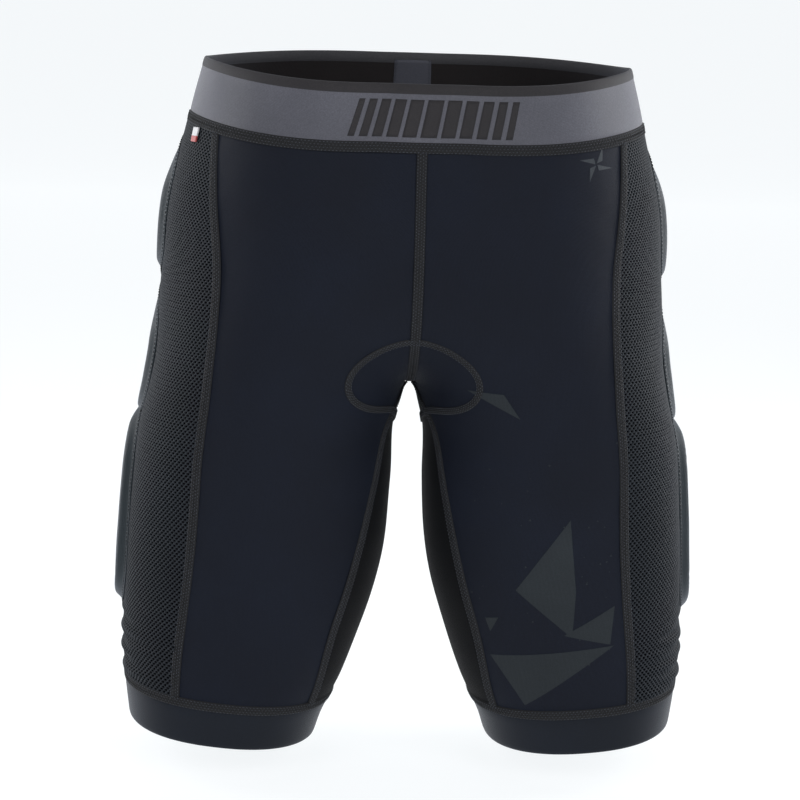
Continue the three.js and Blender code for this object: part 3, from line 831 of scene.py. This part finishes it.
# ---- Seams: a flat tape with rows of thread over it ----
def stitch_template(length, radius, sides=6):
    """A short thread lying along +X that dips into the cloth at both ends."""
    rings = [(-0.5, 0.35, -0.5), (-0.3, 0.9, 0.25), (0, 1, 0.45), (0.3, 0.9, 0.25), (0.5, 0.35, -0.5)]
    verts, faces = [], []
    for along, girth, lift in rings:
        for k in range(sides):
            a = 2 * math.pi * k / sides
            across, up = math.cos(a) * girth, math.sin(a) * girth + lift
            verts.append((along * length, across * radius, up * radius))
    for i in range(len(rings) - 1):
        for k in range(sides):
            m = (k + 1) % sides
            faces.append((i * sides + k, i * sides + m, (i + 1) * sides + m, (i + 1) * sides + k))
    faces.append(tuple(range(sides))[::-1])
    faces.append(tuple(range((len(rings) - 1) * sides, len(rings) * sides)))
    return np.array(verts), faces


def tangents(line, closed=False):
    """Unit tangents of a line of points."""
    ahead = np.roll(line, -1, axis=0) - line
    if not closed:
        ahead[-1] = ahead[-2]
    behind = np.roll(ahead, 1, axis=0)
    if not closed:
        behind[0] = ahead[0]
    t = ahead + behind
    return t / np.linalg.norm(t, axis=1, keepdims=True)


def resample(line, step, closed=False):
    """A line with its points evenly spaced."""
    if closed:
        line = np.vstack([line, line[:1]])
    arc = np.r_[0, np.cumsum(np.linalg.norm(np.diff(line, axis=0), axis=1))]
    count = max(2, int(round(arc[-1] / step)))
    at = np.linspace(0, arc[-1], count + 1)
    out = np.stack([np.interp(at, arc, line[:, k]) for k in range(3)], -1)
    return out[:-1] if closed else out


def threads(line, height, length, pitch, across=0.0, lean=0, radius=0.25, closed=False, phase=0.0):
    """Thread stitches along a line on the undraped face. A phase is a share of the pitch."""
    points = settle(resample(line, pitch, closed))
    t, n = tangents(points, closed), normals_at(points)
    b = np.cross(n, t)
    angle = math.radians(lean)
    x_axis = t * math.cos(angle) + b * math.sin(angle)
    y_axis = b * math.cos(angle) - t * math.sin(angle)
    centre = points + t * (phase * pitch) + b * across + n * height
    template, faces = stitch_template(length, radius)
    return copies(template, faces, centre, x_axis, y_axis, n)


def copies(template, faces, centre, x_axis, y_axis, z_axis):
    """One copy of a small mesh at each centre, turned to that point's axes."""
    verts = (centre[:, None] + template[:, 0, None] * x_axis[:, None]
             + template[:, 1, None] * y_axis[:, None] + template[:, 2, None] * z_axis[:, None])
    made = [tuple(v + len(template) * i for v in f) for i in range(len(centre)) for f in faces]
    return verts.reshape(-1, 3), made


TAPE_HEIGHT, TAPE_STEP = 0.62, 3.0


def tape(line, width, closed):
    """A low, round-edged tape along a line on the undraped face."""
    points = settle(resample(line, TAPE_STEP, closed))
    t, n = tangents(points, closed), normals_at(points)
    b = np.cross(n, t)
    across = np.array([-0.5, -0.47, -0.38, -0.2, 0, 0.2, 0.38, 0.47, 0.5]) * width
    rise = np.array([-0.9, 0.15, 0.75, 0.95, 0.82, 0.95, 0.75, 0.15, -0.9]) * TAPE_HEIGHT
    flat = points[:, None] + b[:, None] * across[:, None]
    ridge = flat + n[:, None] * rise[:, None]
    under = flat - n[:, None] * 0.9 * TAPE_HEIGHT
    uv = np.stack(np.meshgrid(np.arange(len(points)) * TAPE_STEP, across, indexing="ij"), -1)
    if closed:
        ridge, under, uv = (np.swapaxes(grid, 0, 1) for grid in (ridge, under, uv))
    return *slab(ridge, under, ring=closed, flip=not closed), both_faces(uv)


NEEDLE_ROWS = (-0.37, -0.13, 0.13, 0.37)      # across a flatlock seam, as shares of its width
NEEDLE_LENGTH, NEEDLE_PITCH, NEEDLE_LEAN = 1.2, 2.5, 14
COVER_SPAN, COVER_PITCH, COVER_LEAN = 0.72, 2.9, 62      # the span is a share of the seam's width


def flatlock(name, line, side=LEFT, closed=False, width=SEAM_WIDTH + 1.2, in_cad=True):
    """A flatlock seam: its tape, its rows of needle stitches and the zigzag of cover thread between."""
    verts, faces, uv = tape(line, width, closed)
    put(name + "_tape", mirrored(drape(verts), side), handed(faces, side), TAPE,
        replaces=[name] if in_cad else (), uv=uv)
    needle = [threads(line, TAPE_HEIGHT, NEEDLE_LENGTH, NEEDLE_PITCH, across=share * width,
                      lean=NEEDLE_LEAN, closed=closed, phase=0.5 * (k % 2))
              for k, share in enumerate(NEEDLE_ROWS)]
    zigzag = [threads(line, TAPE_HEIGHT, width * COVER_SPAN, COVER_PITCH, lean=way * COVER_LEAN,
                      radius=0.24, closed=closed, phase=0.5 - 0.25 * way) for way in (1, -1)]
    for part, mat, parts in (("_needle_thread", THREAD, needle), ("_cover_thread", THREAD_DARK, zigzag)):
        verts, faces = join(parts)
        put(name + part, mirrored(drape(verts), side), handed(faces, side), mat)


def line_of(reach, depths):
    return np.array([around(d, reach(d))[0] for d in depths])


def ring_line(depth, centre_x, count=160):
    """A level line round the waist or one leg."""
    angle = 2 * np.pi * np.arange(count) / count
    return cast_out(centre_x, middle_y(depth), angle, depth)


def all_seams():
    """Every sewn seam of the part, on the outer face."""
    upright = levels(PANEL_TOP - 0.5, PANEL_BOTTOM + 0.5, 4.0)
    below = levels(FORK + 1, PANEL_BOTTOM + 0.5, 4.0)
    middle = levels(PANEL_TOP - 0.5, RISE - 1, 4.0)
    for side, word in SIDES:
        for name, reach, depths in (("side_front_seam", side_front, upright),
                                    ("side_rear_seam", side_rear, upright),
                                    ("inner_front_seam", inner_front, below),
                                    ("inner_rear_seam", inner_rear, below)):
            flatlock(name + word, line_of(reach, depths), side)
        hem = ring_line(HEM_TOP - CLEARANCE - SEAM_WIDTH / 2, leg_centre(HEM_TOP))
        flatlock("hem_seam" + word, hem, side, closed=True)
    for name, way in (("front_seam", FRONT), ("back_seam", BACK)):
        flatlock(name, np.array([section_at(d, way)[0][-1] for d in middle]) * (0, 1, 1))
    waist = ring_line(SEAM_TOP + SEAM_WIDTH / 2, 0, 240)
    flatlock("waist_seam", waist, closed=True, width=SEAM_WIDTH + 2)


# ---- Waistband ----
def band_ring(depths, offsets, cols=256):
    angle = 2 * np.pi * np.arange(cols) / cols
    grid = np.array([cast_out(0, middle_y(d), angle, d) for d in depths])
    return raised(grid, normals_at(grid), np.array(offsets, float)[:, None])


BAND_STRIPE = 6.0              # the dark woven edge's height
BAND_GIRTH = 820               # about what the weave is wrapped round


def waistband():
    """The band's outside, its dark woven top edge and its lining, as one continuous woven tube."""
    thick, stripe = BAND_THICKNESS, BAND_STRIPE
    outside = [(stripe, 0.12), (stripe + 1.2, 0), *[(d, 0.0) for d in np.linspace(9, BAND_HEIGHT - 1.5, 12)],
               (BAND_HEIGHT - 0.4, -0.25)]
    edge = [(0, -thick), (-0.3, -thick * 0.72), (-0.45, -thick * 0.5), (-0.2, -0.3), (0.5, 0.1), (2, 0.32),
            (4.6, 0.32), (stripe - 0.3, 0.2), (stripe, 0.1)]
    inner_edge = [(stripe + 1.5, -thick + 0.05), (stripe + 1.2, -thick - 0.2), (3, -thick - 0.3),
                  (0.6, -thick - 0.2), (0, -thick)]
    lining = [(BAND_HEIGHT - 0.4, -thick + 0.1), (BAND_HEIGHT - 2, -thick),
              *[(d, -thick) for d in np.linspace(BAND_HEIGHT - 4, stripe + 3, 8)], (stripe, -thick)]
    for name, rows, mat, nodes in (("waistband_face", outside, BAND, ["waistband"]),
                                   ("waistband_edge", edge, BAND_DARK, []),
                                   ("waistband_inside_edge", inner_edge, BAND_INSIDE_EDGE, []),
                                   ("waistband_lining", lining, BAND_INSIDE, [])):
        depths, offsets = zip(*rows)
        grid = band_ring(depths, offsets)
        girth = BAND_GIRTH * np.arange(grid.shape[1]) / grid.shape[1]
        uv = np.stack(np.meshgrid(depths, girth, indexing="ij")[::-1], -1)
        faces = grid_faces(*grid.shape[:2], ring=True)
        put(name, grid.reshape(-1, 3), faces, mat, replaces=nodes, uv=uv.reshape(-1, 2))


def on_band(u, depth, out):
    """Points on the front of the band: u is millimetres to the wearer's left of its middle."""
    angle = -np.pi / 2 + np.asarray(u) / front_reach(0) * 0.62
    p = cast_out(0, middle_y(depth), angle, depth)
    return raised(p, normals_at(p), out)


def band_motif():
    """A woven motif of slanted bars across the front, in place of lettering."""
    top, bottom, lean, gap = 9.5, BAND_HEIGHT - 4, 8.0, 4.2
    widths = [5.5, 7.5, 9.5, 12, 14.5, 17, 14.5, 12, 9.5, 7.5, 5.5]
    at = 6 - (sum(widths) + gap * (len(widths) - 1)) / 2
    parts = []
    for width in widths:
        uu, vv = np.meshgrid(np.linspace(at, at + width, 6), np.linspace(top, bottom, 10))
        slant = lean * (1 - (vv - top) / (bottom - top))
        parts.append(slab(on_band(uu + slant, vv, 0.22), on_band(uu + slant, vv, -0.3)))
        at += width + gap
    verts, faces = join(parts)
    uv = np.stack([verts[:, 0], -verts[:, 2]], -1)
    put("waistband_motif", verts, faces, BAND_DARK, uv=uv)


LABEL_SIZE, LABEL_TOP = 28, 5


def label():
    """The woven label inside the back of the band, sewn down each side."""
    half = LABEL_SIZE / 2
    v = np.linspace(LABEL_TOP, LABEL_TOP + LABEL_SIZE, 12)
    uu, vv = np.meshgrid(np.linspace(-half, half, 12), v)
    p = cast_out(0, middle_y(vv), np.pi / 2 - uu / back_reach(0), vv)
    n = normals_at(p)
    puff = 0.25 * np.cos(uu / half * np.pi / 2)
    verts, faces = slab(raised(p, n, -(BAND_THICKNESS + 0.45 + puff)), raised(p, n, -(BAND_THICKNESS + 0.1)),
                        flip=True)
    piece = put("waistband_label_cloth", verts, faces, LABEL, replaces=["waistband_label"],
                uv=both_faces(np.stack([uu, vv], -1)))
    template, quads = stitch_template(1.8, 0.3)
    upright = np.stack([template[:, 1], -template[:, 2], template[:, 0]], -1)
    parts = []
    for edge in (1.4 - half, half - 1.4):
        line = cast_out(0, middle_y(v), np.pi / 2 - edge / back_reach(0), v)
        line = line - normals_at(line) * (BAND_THICKNESS + 0.7)
        parts += [(p + upright, quads) for p in resample(line, 2.6)[:-1]]
    verts, faces = join(parts)
    put("waistband_label_thread", drape(verts), faces, THREAD)


# ---- Hems ----
HEM_FLAT = (0.455, 0.056)      # metres: round the hem, and its height folded double


def hems():
    """The hem bands, each folded inwards at the bottom, and the dots of gripper inside them."""
    rows = [(HEM_TOP - 1.5, -0.9), (HEM_TOP, -0.2), (HEM_TOP + 1.5, 0.05), (HEM_TOP + 6, 0.1),
            (HEM_TOP + 12, 0.12), (HEM_TOP + 18, 0.12), (HEM_TOP + 23, 0.1), (TOTAL - 2, 0.05),
            (TOTAL - 0.5, -0.15), (TOTAL + 0.2, -0.7), (TOTAL + 0.2, -1.2), (TOTAL - 0.5, -1.7),
            (TOTAL - 2, -1.85), (TOTAL - 12, -1.9), (HEM_TOP + 4, -1.9), (HEM_TOP - 1.5, -1.6)]
    depths, offsets = zip(*rows)
    cols = 160
    round_leg = np.arange(cols) / cols
    grid = np.array([cast_out(leg_centre(d), middle_y(d), 2 * np.pi * round_leg, d) for d in depths])
    normal = normals_at(grid)
    uv = np.stack(np.meshgrid(depths, HEM_FLAT[0] / MM * round_leg, indexing="ij")[::-1], -1)
    for side, word in SIDES:
        out = np.array(offsets)[:, None] + 0.35 * soft_waves(grid * (side, 1, 1), 55, 21)
        verts = mirrored(raised(grid, normal, out).reshape(-1, 3), side)
        faces = grid_faces(len(rows), cols, ring=True, turned=side == RIGHT)
        piece = put("hem_band" + word + "_cloth", verts, faces, HEM,
                    replaces=["hem_band" + word], uv=uv.reshape(-1, 2))
        gripper(side, word)


def gripper(side, word):
    """Silicone printed inside the hem in rows of dots."""
    template, quads = stitch_template(3.0, 1.1, 8)
    quads = [f[::-1] for f in quads]
    parts = []
    for k, depth in enumerate(np.arange(TOTAL - 20, TOTAL - 6, 4.2)):
        angle = 2 * np.pi * (np.arange(84) + 0.5 * (k % 2)) / 84
        line = cast_out(leg_centre(depth), middle_y(depth), angle, depth)
        t, n = tangents(line, closed=True), normals_at(line)
        parts.append(copies(template, quads, line - n * 2.2, t, np.cross(n, t), -0.5 * n))
    verts, faces = join(parts)
    put("hem_gripper" + word + "_dots", mirrored(drape(verts), side), handed(faces, side), SILICONE,
        replaces=["hem_gripper" + word])


# ---- Impact pads ----
# Name, top and bottom depth, reach ahead of and behind the side line, height of the foam, how far it
# runs in above and below, and how far inside its edge the channel lies.
SIDE_PADS = [
    ("hip_pad", 57, 159, 22, 66, 4.3, 46, 17, 20),
    ("thigh_pad_upper", 165, 266, 22, 61, 4.4, 46, 14, 20),
    ("thigh_pad_lower", 250, 415, 20, 56, 6.8, 26, 14, 11),
]
PAD_ROUND, PAD_END_TAPER = 46, 0.16
PAD_SKIRT, PAD_STEP = 5.0, 1.5


def pad_inside(u, v, half_u, half_v):
    """How far inside a pad's round-cornered outline a point is, negative outside."""
    taper = 1 - PAD_END_TAPER * np.minimum(np.abs(v) / half_v, 1.0) ** 4
    return smooth_min(half_u * taper - np.abs(u), half_v - np.abs(v), PAD_ROUND)


def pad_outline(level, half_u, half_v, count=720):
    """The line round a pad that lies a given way inside its outline."""
    angle = 2 * np.pi * np.arange(count) / count
    u, v = half_u * np.cos(angle), half_v * np.sin(angle)
    share = boundary(lambda s: pad_inside(u * s, v * s, half_u, half_v) > level, np.full(count, 1.3))
    return np.stack([u * share, v * share], -1)


def drawn_in(u, v, half_u, half_v):
    """Grid points outside a pad's outline, moved in to it."""
    uu, vv = np.meshgrid(u, v)
    for _ in range(3):
        inside = pad_inside(uu, vv, half_u, half_v)
        e = 0.1
        gu = (pad_inside(uu + e, vv, half_u, half_v) - pad_inside(uu - e, vv, half_u, half_v)) / (2 * e)
        gv = (pad_inside(uu, vv + e, half_u, half_v) - pad_inside(uu, vv - e, half_u, half_v)) / (2 * e)
        pull = np.minimum(inside, 0) / np.maximum(gu ** 2 + gv ** 2, 0.2)
        uu, vv = uu - gu * pull, vv - gv * pull
    return uu, vv, np.maximum(pad_inside(uu, vv, half_u, half_v), 0)


def pad_height(inside, v, half_v, height, above, below, channel):
    """A moulded pad: a flat flange, a wall, a crowned top, and a sunk channel round an island."""
    wall = smooth((inside - 2.6) / 6.5)
    run = smooth((v + half_v - 1) / above) * smooth((half_v - 1 - v) / below)
    crown = smooth((inside - 8) / 30)
    sunk = np.exp(-((inside - channel) / 1.5) ** 2) * run
    return 0.8 + height * wall * run + 0.9 * crown * run - 1.5 * sunk


def side_pads():
    """The moulded shells of the hip and thigh pads, with a row of thread on each flange."""
    for name, top, bottom, ahead, behind, rise, above, below, channel in SIDE_PADS:
        half_v, half_u = (bottom - top) / 2 + PAD_SKIRT, (ahead + behind) / 2 + PAD_SKIRT
        middle = np.array([(ahead - behind) / 2, (top + bottom) / 2])
        v = np.linspace(-half_v, half_v, int(2 * half_v / PAD_STEP))
        u = np.linspace(half_u, -half_u, int(2 * half_u / PAD_STEP))
        uu, vv, inside = drawn_in(u, v, half_u, half_v)
        flat_points = middle + np.stack([uu, vv], -1)
        grid = surface_at(flat_points)
        normal = normals_at(grid)
        height = pad_height(inside, vv, half_v, rise, above, below, channel)
        ring = surface_at(middle + pad_outline(2.2, half_u, half_v))
        stitches, quads = threads(ring, 1.35, 2.2, 3.0, radius=0.3, closed=True)
        for side, word in SIDES:
            lift = height + 0.25 + 0.15 * soft_waves(grid * (side, 1, 1), 26, 31)
            verts, faces = slab(raised(grid, normal, lift), raised(grid, normal, 0.1), flip=side == LEFT)
            piece = put(name + "_cover" + word + "_shell", mirrored(verts, side), faces, PAD,
                        replaces=[name + "_cover" + word, name + "_core" + word], uv=both_faces(flat_points))
            put(name + "_edge_thread" + word, mirrored(drape(stitches), side), handed(quads, side),
                THREAD_DARK)


TABLE_STEP = 2.0


def looked_up(table, row, col):
    """Points on the outer face, from between the rows and columns of a table of them."""
    i = np.clip(row.astype(int), 0, len(table) - 2)
    j = np.clip(col.astype(int), 0, table.shape[1] - 2)
    s, t = (row - i)[..., None], (col - j)[..., None]
    return mix(mix(table[i, j], table[i, j + 1], t), mix(table[i + 1, j], table[i + 1, j + 1], t), s)


def surface_at(flat_points):
    """Points on the outer face at a reach and a depth."""
    reach, depth = flat_points[..., 0], flat_points[..., 1]
    lines = np.arange(np.floor(depth.min()) - 1, np.ceil(depth.max()) + 3, TABLE_STEP)
    marks = np.arange(np.floor(reach.min()) - 2, np.ceil(reach.max()) + 4, TABLE_STEP)
    table = np.array([around(d, marks) for d in lines])
    return settle(looked_up(table, (depth - lines[0]) / TABLE_STEP, (reach - marks[0]) / TABLE_STEP))


def back_points(across, depth):
    """Points on the back at a distance to each side of the middle line and a depth."""
    lines = np.arange(depth.min() - 2, depth.max() + 4, TABLE_STEP)
    marks = np.arange(0, np.abs(across).max() + 4, TABLE_STEP)
    table = np.array([around(d, middle_reach(d, BACK) + marks) for d in lines])
    points = looked_up(table, (depth - lines[0]) / TABLE_STEP, np.abs(across) / TABLE_STEP)
    points[..., 0] *= np.sign(across)
    return settle(points)


# ---- Swelling by cloth simulation ----
SWELL_FRAMES, SWELL_PRESSURE = 20, 3.0


def held_face(rows, cols, second=False):
    """One face of a slab of two grids, and the rim of the other."""
    n = rows * cols
    i, j = np.divmod(np.arange(n), cols)
    rim = np.nonzero((i == 0) | (j == 0) | (i == rows - 1) | (j == cols - 1))[0]
    return np.r_[n + np.arange(n), rim] if second else np.r_[np.arange(n), n + rim]


def swell(piece, held, cap):
    """Air pressure swells a padded piece. The held vertices stay, and none moves past the cap in mm."""
    count = len(piece.data.vertices)
    before = np.empty(count * 3)
    piece.data.vertices.foreach_get("co", before)
    group = piece.vertex_groups.new(name="held")
    group.add([int(k) for k in held], 1.0, "REPLACE")
    modifier = piece.modifiers.new("swell", "CLOTH")
    for setting, value in (("quality", 8), ("mass", 0.3), ("tension_stiffness", 40),
                           ("compression_stiffness", 40), ("bending_stiffness", 2.0),
                           ("use_pressure", True), ("uniform_pressure_force", SWELL_PRESSURE),
                           ("vertex_group_mass", "held")):
        setattr(modifier.settings, setting, value)
    modifier.settings.effector_weights.gravity = 0
    modifier.collision_settings.use_collision = False
    modifier.point_cache.frame_start, modifier.point_cache.frame_end = 1, SWELL_FRAMES
    for frame_number in range(1, SWELL_FRAMES + 1):
        bpy.context.scene.frame_set(frame_number)
    shaped = piece.evaluated_get(bpy.context.evaluated_depsgraph_get()).data
    after = np.empty(count * 3)
    shaped.vertices.foreach_get("co", after)
    bpy.context.scene.frame_set(1)
    piece.modifiers.remove(modifier)
    piece.vertex_groups.remove(group)
    moved = (after - before).reshape(-1, 3)
    length = np.linalg.norm(moved, axis=1, keepdims=True)
    limit = cap * MM
    moved *= limit * np.tanh(length / limit) / np.maximum(length, 1e-12)
    piece.data.vertices.foreach_set("co", before + moved.ravel())
    piece.data.update()


# ---- Seat pad and tailbone pad ----
SEAT_FRONT, SEAT_BACK = 108, 125
# The seat pad's outline: distance along the crotch line from its lowest point, and half the width there.
SEAT_MARKS = [(-108, 2), (-106, 21), (-101, 38), (-94, 50), (-86, 56), (-77, 54), (-67, 46), (-54, 35),
              (-40, 28), (-12, 26), (40, 50), (85, 59), (106, 50), (118, 32), (125, 3)]
INSIDE_FACE = 2.6              # from the outer face to where an inner pad lies
SEAT_ROUNDING = 14             # passes that round the corners of the seat pad's outer seam


def seat_half_at(s):
    """Half the seat pad's width, a little rounded between its marks."""
    marks, widths = zip(*SEAT_MARKS)
    rounded = np.array([np.interp(s + shift, marks, widths) for shift in np.linspace(-7, 7, 9)])
    return np.minimum(rounded.mean(axis=0), np.interp(s, marks, widths) + 3)


def seat_grid(rows, cols):
    """Points of the seat pad on the outer face, walked out from the crotch line to each side."""
    low = settle(np.array([[0.0, float(middle_y(RISE)), -float(RISE) - 2]]))[0]
    s = np.linspace(2 - SEAT_FRONT, SEAT_BACK - 2, rows)
    along = np.stack([np.zeros(rows), np.sign(s), np.zeros(rows)], -1)
    middle = walk(np.repeat(low[None], rows, 0), along, np.abs(s))
    width = seat_half_at(s)
    u = np.linspace(-1, 1, cols)
    starts = np.repeat(middle[:, None], cols, 1).reshape(-1, 3)
    outward = np.tile(np.sign(u) + (u == 0), rows)
    sideways = np.stack([outward, np.zeros(rows * cols), np.zeros(rows * cols)], -1)
    grid = walk(starts, sideways, (width[:, None] * np.abs(u)).ravel()).reshape(rows, cols, 3)
    where = np.stack([width[:, None] * u, np.repeat(s[:, None], cols, 1)], -1)
    return grid, where, width


def seat_pad():
    """The pad inside the crotch, crowned and channelled, and the seam that shows round it outside."""
    grid, where, width = seat_grid(70, 41)
    normal = normals_at(grid)
    to_side = width[:, None] - np.abs(where[..., 0])
    to_end = np.minimum(where[..., 1] + SEAT_FRONT, SEAT_BACK - where[..., 1])
    edge = np.minimum(to_side, to_end)
    channel = np.exp(-((np.abs(where[..., 0]) - 13) / 2.2) ** 2) * smooth(edge / 14)
    depth = 3.2 + 6.5 * smooth(edge / 22) - 2.6 * channel
    verts, faces = slab(raised(grid, normal, -INSIDE_FACE), raised(grid, normal, -(INSIDE_FACE + depth)))
    piece = put("seat_pad_cushion", verts, faces, LINING,
                replaces=["seat_pad_foam", "seat_pad_cover"], uv=both_faces(where))
    swell(piece, held_face(*grid.shape[:2]), 2.5)
    ring = resample(np.vstack([grid[:, -1], grid[::-1, 0]]), 3.0, True)
    for _ in range(SEAT_ROUNDING):
        ring = (np.roll(ring, 1, axis=0) + 2 * ring + np.roll(ring, -1, axis=0)) / 4
    flatlock("seat_pad_outline", settle(ring), closed=True, width=5.4, in_cad=False)


TAIL_TOP, TAIL_BOTTOM, TAIL_HALF, TAIL_SKIRT = 82, 158, 34, 5


def tail_pad():
    """The small moulded pad inside the back."""
    rows, cols = 50, 46
    half_v, half_u = (TAIL_BOTTOM - TAIL_TOP) / 2 + TAIL_SKIRT, TAIL_HALF + TAIL_SKIRT
    u, v = np.linspace(-half_u, half_u, cols), np.linspace(-half_v, half_v, rows)
    uu, vv, inside = drawn_in(u, v, half_u, half_v)
    grid = back_points(uu, vv + (TAIL_TOP + TAIL_BOTTOM) / 2)
    normal = normals_at(grid)
    lift = 0.8 + 5.6 * smooth((inside - 3) / 7) - 1.4 * np.exp(-((inside - 15) / 1.8) ** 2)
    verts, faces = slab(raised(grid, normal, -(INSIDE_FACE + lift)), raised(grid, normal, -2.4), flip=True)
    piece = put("tailbone_pad_cushion", verts, faces, LINING,
                replaces=["tailbone_pad_core", "tailbone_pad_cover"], uv=both_faces(np.stack([uu, vv], -1)))
    swell(piece, held_face(rows, cols, second=True), 1.6)


# ---- Prints ----
def shard(corners, n=14):
    """A triangle of print on the front of the wearer's left leg; corners are (x, depth)."""
    a, b, c = (np.array(p, float) for p in corners)
    spots, faces, index = [], [], {}
    for i in range(n + 1):
        for j in range(n + 1 - i):
            index[i, j] = len(spots)
            spots.append(a + (b - a) * i / n + (c - a) * j / n)
    for i in range(n):
        for j in range(n - i):
            faces.append((index[i, j], index[i + 1, j], index[i, j + 1]))
            if i + j < n - 1:
                faces.append((index[i + 1, j], index[i + 1, j + 1], index[i, j + 1]))
    return np.array(spots), faces


def polar(centre, radius, angle):
    return centre[0] + radius * math.cos(angle), centre[1] + radius * math.sin(angle)


def lay_print(name, shapes, ink):
    """Prints on the front of the left leg or hip, just proud of the panel's waves."""
    parts = []
    for spots, faces in shapes:
        x, depth = spots[:, 0], spots[:, 1]
        p = cast_out(x, middle_y(depth), np.full(len(x), -np.pi / 2), depth)
        parts.append((raised(p, normals_at(p), panel_waves(p, FRONT_WAVES) - 0.2), faces))
    verts, faces = join(parts)
    put(name, verts, faces, ink, uv=np.vstack([spots for spots, _ in shapes]))


def prints():
    """Plain shards on the wearer's left leg, and a small pinwheel on the hip."""
    shards = [
        ((113, 314), (77, 366), (120, 368)),
        ((120, 368), (77, 366), (119, 402)),
        ((113, 400), (149, 380), (147, 409)),
        ((62, 416), (150, 410), (88, 453)),
        ((57, 388), (66, 387), (61, 398)),
        ((37, 224), (62, 225), (74, 242)),
    ]
    r = np.random.default_rng(4)
    shapes = [shard(s) for s in shards]
    for _ in range(46):
        speck = (r.uniform(45, 150), r.uniform(255, 425))
        size, turn = r.uniform(0.4, 1.1), r.uniform(0, 6.28)
        shapes.append(shard([polar(speck, size, turn + k * 2.09) for k in range(3)], 1))
    lay_print("leg_print", shapes, PRINT)
    hub, blades = (120, 55), []
    for k in range(4):
        a = math.radians(20 + 90 * k)
        blades.append(shard((polar(hub, 0.8, a), polar(hub, 13, a), polar(hub, 5, a + 0.8)), 4))
    lay_print("hip_print", blades, PRINT_LIGHT)


# ---- Side tag ----
TAG_FORWARD, TAG_LENGTH, TAG_WIDTH = 52, 11, 9


def side_tag():
    """A ribbon folded in half and sewn in at the waist seam, white above and red below."""
    low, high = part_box("side_tag")
    centre = np.array((low + high) / 2) / MM
    base = around(PANEL_TOP, TAG_FORWARD)[0] * (-1, 1, 1)
    out = normals_at(base[None])[0]
    across = np.array([-out[1], out[0], 0]) / np.hypot(out[0], out[1])
    up = np.cross(out, across)
    for name, start, end, mat, nodes in (("side_tag_ribbon", 0.07, 0.62, TAG_WHITE, ["side_tag"]),
                                         ("side_tag_stripe", 0.62, 1.0, TAG_RED, [])):
        uu, down = np.meshgrid(np.linspace(-0.5, 0.5, 8), np.linspace(start, end, 8))
        bow = (0.14 * np.cos(uu * np.pi) + 0.25) * smooth(down)
        flat = centre + across * (uu * TAG_WIDTH)[..., None] - up * ((down - 0.5) * TAG_LENGTH)[..., None]
        fold = 1 - 0.75 * smooth((down - 0.93) / 0.07)
        plies = [flat + out * (lift * fold + bow - 0.2)[..., None] for lift in (0.5, 0.12, -0.12, -0.5)]
        verts, faces = join([slab(plies[0], plies[1], flip=True), slab(plies[2], plies[3], flip=True)])
        put(name, verts, faces, mat, body="tag", replaces=nodes)


camera()
studio()
floor()
cloth_panel("front_panel", front_edge, side_front, FRONT_WAVES)
cloth_panel("back_panel", side_rear, back_edge, BACK_WAVES)
inner_leg_panels()
side_meshes()
all_seams()
waistband()
band_motif()
label()
hems()
side_pads()
seat_pad()
tail_pad()
prints()
side_tag()
